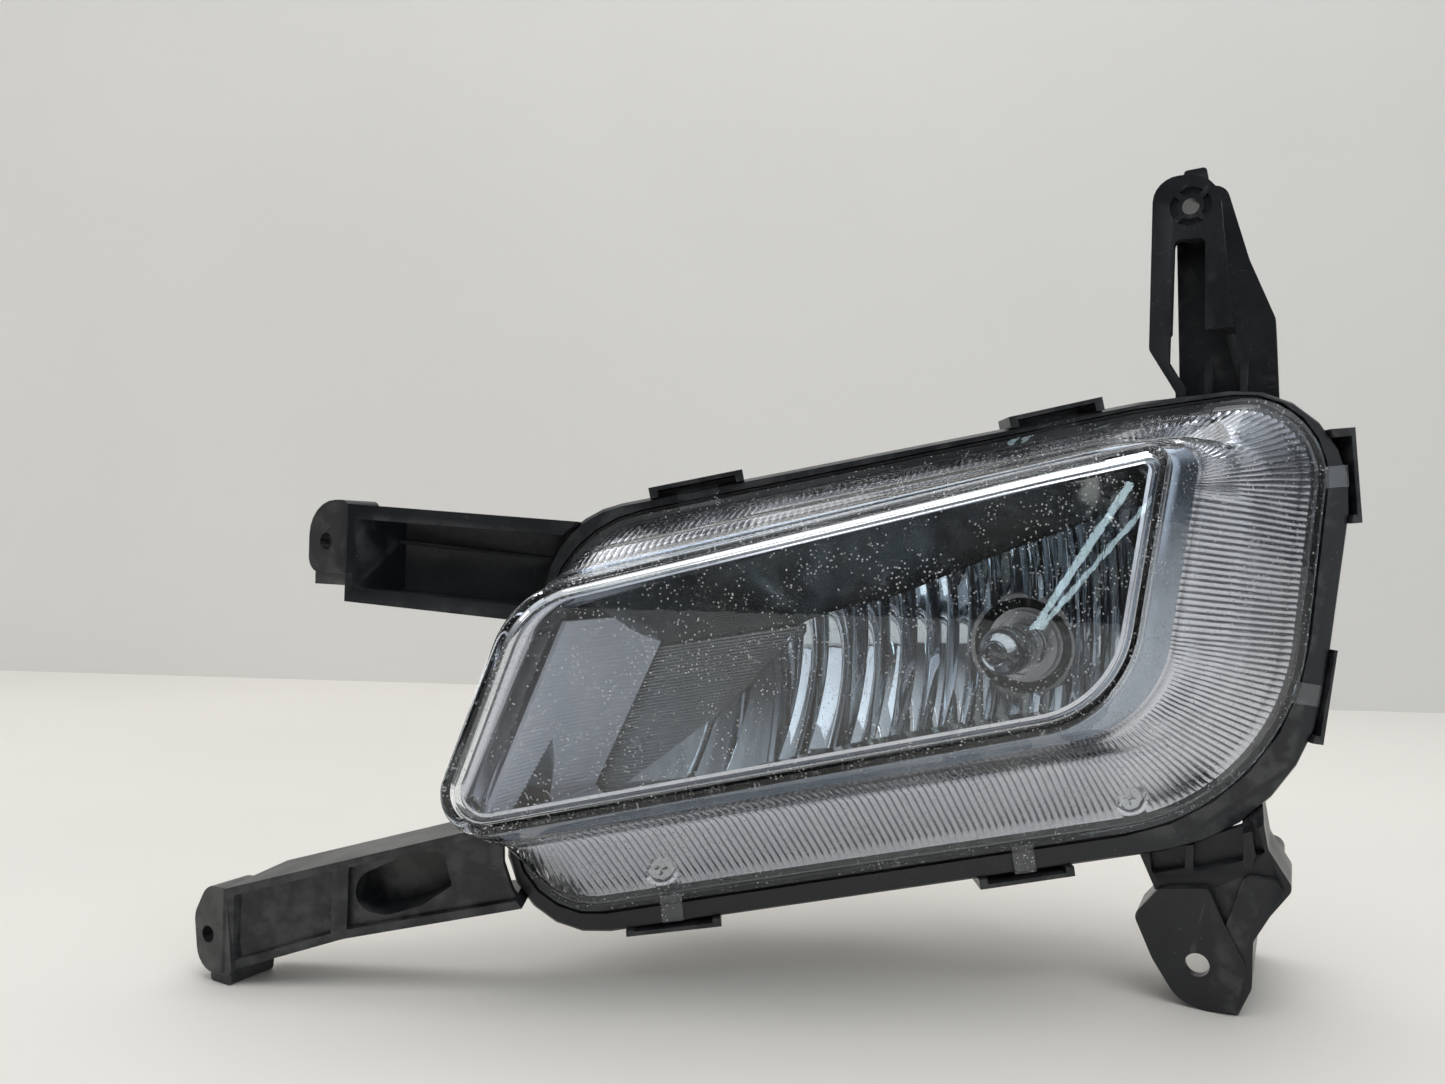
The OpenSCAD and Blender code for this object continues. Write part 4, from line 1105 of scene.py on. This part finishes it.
def build_roof():
    (x0, z0), (x1, z1) = WING_TOP
    xs = list(np.linspace(x0, x1, 24)) + list(np.linspace(x1 + 1.2, 32.4, 60))
    grid = []
    for x in xs:
        if x <= x1:
            z = z0 + (z1 - z0) * (x - x0) / (x1 - x0)
            start = (x, wing_y(x, z) + 0.4, z)
        else:
            z = facet_top(x)
            start = (x, max(front_y(x, FACET_FRONT_W), bowl_y(x, z)) + 0.6, z)
        end = roof_front(x)
        grid.append([tuple(np.array(start) * (1 - t) + np.array(end) * t) for t in np.linspace(0, 1, 9)])
    # The roof takes the darker copy of the reflector coat, a painted dark reflection.
    return slab("reflector_roof", grid, (0, 0, 1.0), ROOF_PAINTED_SHADE, "reflector", angle=35)


def build_wing():
    (x0, z0), (x1, z1) = WING_TOP
    rows = 160
    grid = []
    for k in range(rows + 1):
        t = k / rows
        left = (-94.0 + (x0 + 94.0) * t, -38.6 + (z0 + 38.6) * t)
        z_right = -31.0 + (z1 + 31.0) * t
        right = (min(x1 + 1, max(EDGE_X + 2, x1 + (z_right - z1) / EDGE_SLOPE + 2)), z_right)
        ridge = 0.2 * abs(math.sin(math.pi * k / 4))
        row = []
        for q in np.linspace(0, 1, 10):
            x, z = left[0] + (right[0] - left[0]) * q, left[1] + (right[1] - left[1]) * q
            row.append((x, wing_y(x, z) - ridge, z))
        grid.append(row)
    # The wing takes the darker copy of the reflector coat, a painted dark reflection.
    return slab("reflector_wing", grid, (0, 1.8, 0), WING_PAINTED_SHADE, "reflector", angle=60)


def build_step():
    """The wall from the facets' inner edge back to the wing, and the bright fin at its foot."""
    grid = []
    for z in np.linspace(-30.5, 4.5, 40):
        x = max(EDGE_X, TOP_X[0] + (z - TOP_Z[0]) / EDGE_SLOPE)
        front, back = bowl_y(x, z) - 0.2, wing_y(x, z) + 0.6
        grid.append([(x, front + (max(back, front + 0.5) - front) * t, z) for t in (0, 0.5, 1)])
    # The step wall takes the roof's darker copy of the reflector coat, a painted dark reflection.
    slab("reflector_step", grid, (0.9, 0, 0), ROOF_PAINTED_SHADE, "reflector", angle=40)
    corner, top, foot = (-67.7, -84.5, -29.5), (-59.5, -61.5, -17.8), (-57.1, -66.2, -29.8)
    grid = []
    for t in np.linspace(0, 0.98, 12):
        a = np.array(corner) + (np.array(top) - np.array(corner)) * t
        b = np.array(foot) + (np.array(top) - np.array(foot)) * t
        grid.append([tuple(a + (b - a) * q) for q in np.linspace(0, 1, 6)])
    slab("reflector_fin", grid, (0, 1.0, 0), CHROME, "reflector", angle=40)


def edge_wall(p, q, thick, front_w):
    """A wall along one edge of the reflector, from the front back to the bowl or the wing."""
    p, q = np.array(p), np.array(q)
    d = unit(q - p)
    out = np.array([-d[1], d[0]])
    points, faces = [], []
    rows = 48
    for k in range(rows + 1):
        at = p + (q - p) * k / rows
        for off in (-0.4, thick):
            x, z = at + out * off
            start = front_y(x, front_w)
            deep = wing_y(x, z) if x < EDGE_X else bowl_y(x, z)
            points.append(lamp(x, start, z))
            points.append(lamp(x, max(deep + 1.8, start + 0.5), z))
    for k in range(rows):
        a, b = 4 * k, 4 * (k + 1)
        for i, j in ((0, 1), (1, 3), (3, 2), (2, 0)):
            faces.append((a + i, a + j, b + j, b + i))
    e = 4 * rows
    faces += [(0, 2, 3, 1), (e, e + 1, e + 3, e + 2)]
    return np.array(points), faces


def build_reflector_body():
    low_outer, low_inner, top_outer = (32.5, -11.0), (-93.0, -38.2), (32.5, 43.0)
    parts = [edge_wall(low_outer, low_inner, 1.5, -31.5), edge_wall(top_outer, low_outer, 2.0, -35)]
    for s in (-1, 1):
        x0 = 33 if s > 0 else -36.5
        parts.append(block((x0, -15.0, -4), (x0 + 3.5, -6, 4)))
        parts.append(block((28 if s > 0 else -34, -9.9, -4), (34 if s > 0 else -28, -7.5, 4)))
    parts.append(block((-43, -40, -28), (-29, -8, -26)))
    parts.append(block((-43, -14, -40), (-29, -8, -37.5)))
    parts.append(block((-43, -14, -28.5), (-29, -8, -26)))
    parts.append(block((-43, -14, -37.5), (-40.5, -8, -28.5)))
    parts.append(block((-31.5, -14, -37.5), (-29, -8, -28.5)))
    points, faces = joined(parts)
    return make("reflector_walls_and_ears", points, faces, CHROME, "reflector", slot="bright_coat", angle=28)


build_facets()
build_roof()
build_wing()
build_step()
build_reflector_body()
neck_profile = [(BULB_HOLE_R, -1.2), (13.6, -1.2), (14.4, -0.4), (14.6, 4.5), (BULB_HOLE_R, 4.5)]
neck_points, neck_faces = turned(neck_profile, (0, 0, 0), 96)
# The neck takes the darker copy of the reflector coat, painted shade round the bulb.
make("reflector_neck", neck_points, neck_faces, NECK_PAINTED_SHADE, "reflector", slot="bright_coat", angle=28)

# ---------------------------------------------------------------- bulb

def build_bulb():
    r = 6.0
    tip = -27.0
    outer = [(0.01, tip)]
    outer += [(r * math.sin(a), tip + r - r * math.cos(a)) for a in np.linspace(0.08, math.pi / 2, 18)]
    outer += [(r, 0.5), (r - 0.3, 1.5), (r - 1.0, 2.0), (0.01, 2.0)]
    inner = [(0.01, -4.0), (r - 1.4, -4.0), (r - 1.0, -4.6)]
    dome = np.linspace(0.0, math.pi / 2 - 0.05, 16)
    inner += [((r - 1.0) * math.cos(a), tip + r - (r - 1.0) * math.sin(a)) for a in dome]
    inner += [(0.01, tip + 1.0)]
    points, faces = joined([turned(outer, (0, 0, 0), 64), turned(inner, (0, 0, 0), 64)])
    make("glass_capsule", points, faces, GLASS, "bulb", "bulb_glass", slot="bulb_glass", angle=40)
    turns, coil_r = 11, 0.85
    path = []
    for k in range(turns * 22 + 1):
        a = 2 * math.pi * k / 22
        path.append(lamp(coil_r * math.cos(a), -13.3 + 4.6 * k / (turns * 22), coil_r * math.sin(a)))
    points, faces = tube(path, 0.2 * MM, 8)
    make("coil", points, faces, WIRE, "bulb", "bulb_filament", slot="tungsten", angle=180)
    wires = []
    for s, end in ((-1, -13.3), (1, -8.7)):
        bend = [
            lamp(1.6 * s, -3.9, 0), lamp(1.6 * s, -6, 0), lamp(1.7 * s, end - s * 0.6, 0),
            lamp(1.3 * s, end - s * 1.0, 0), lamp(0.5 * s, end, 0.4),
        ]
        wires.append(tube(bend, 0.26 * MM, 10))
    points, faces = joined(wires)
    make("coil_supports", points, faces, WIRE, "bulb", "filament_supports", slot="tungsten", angle=180)


build_bulb()
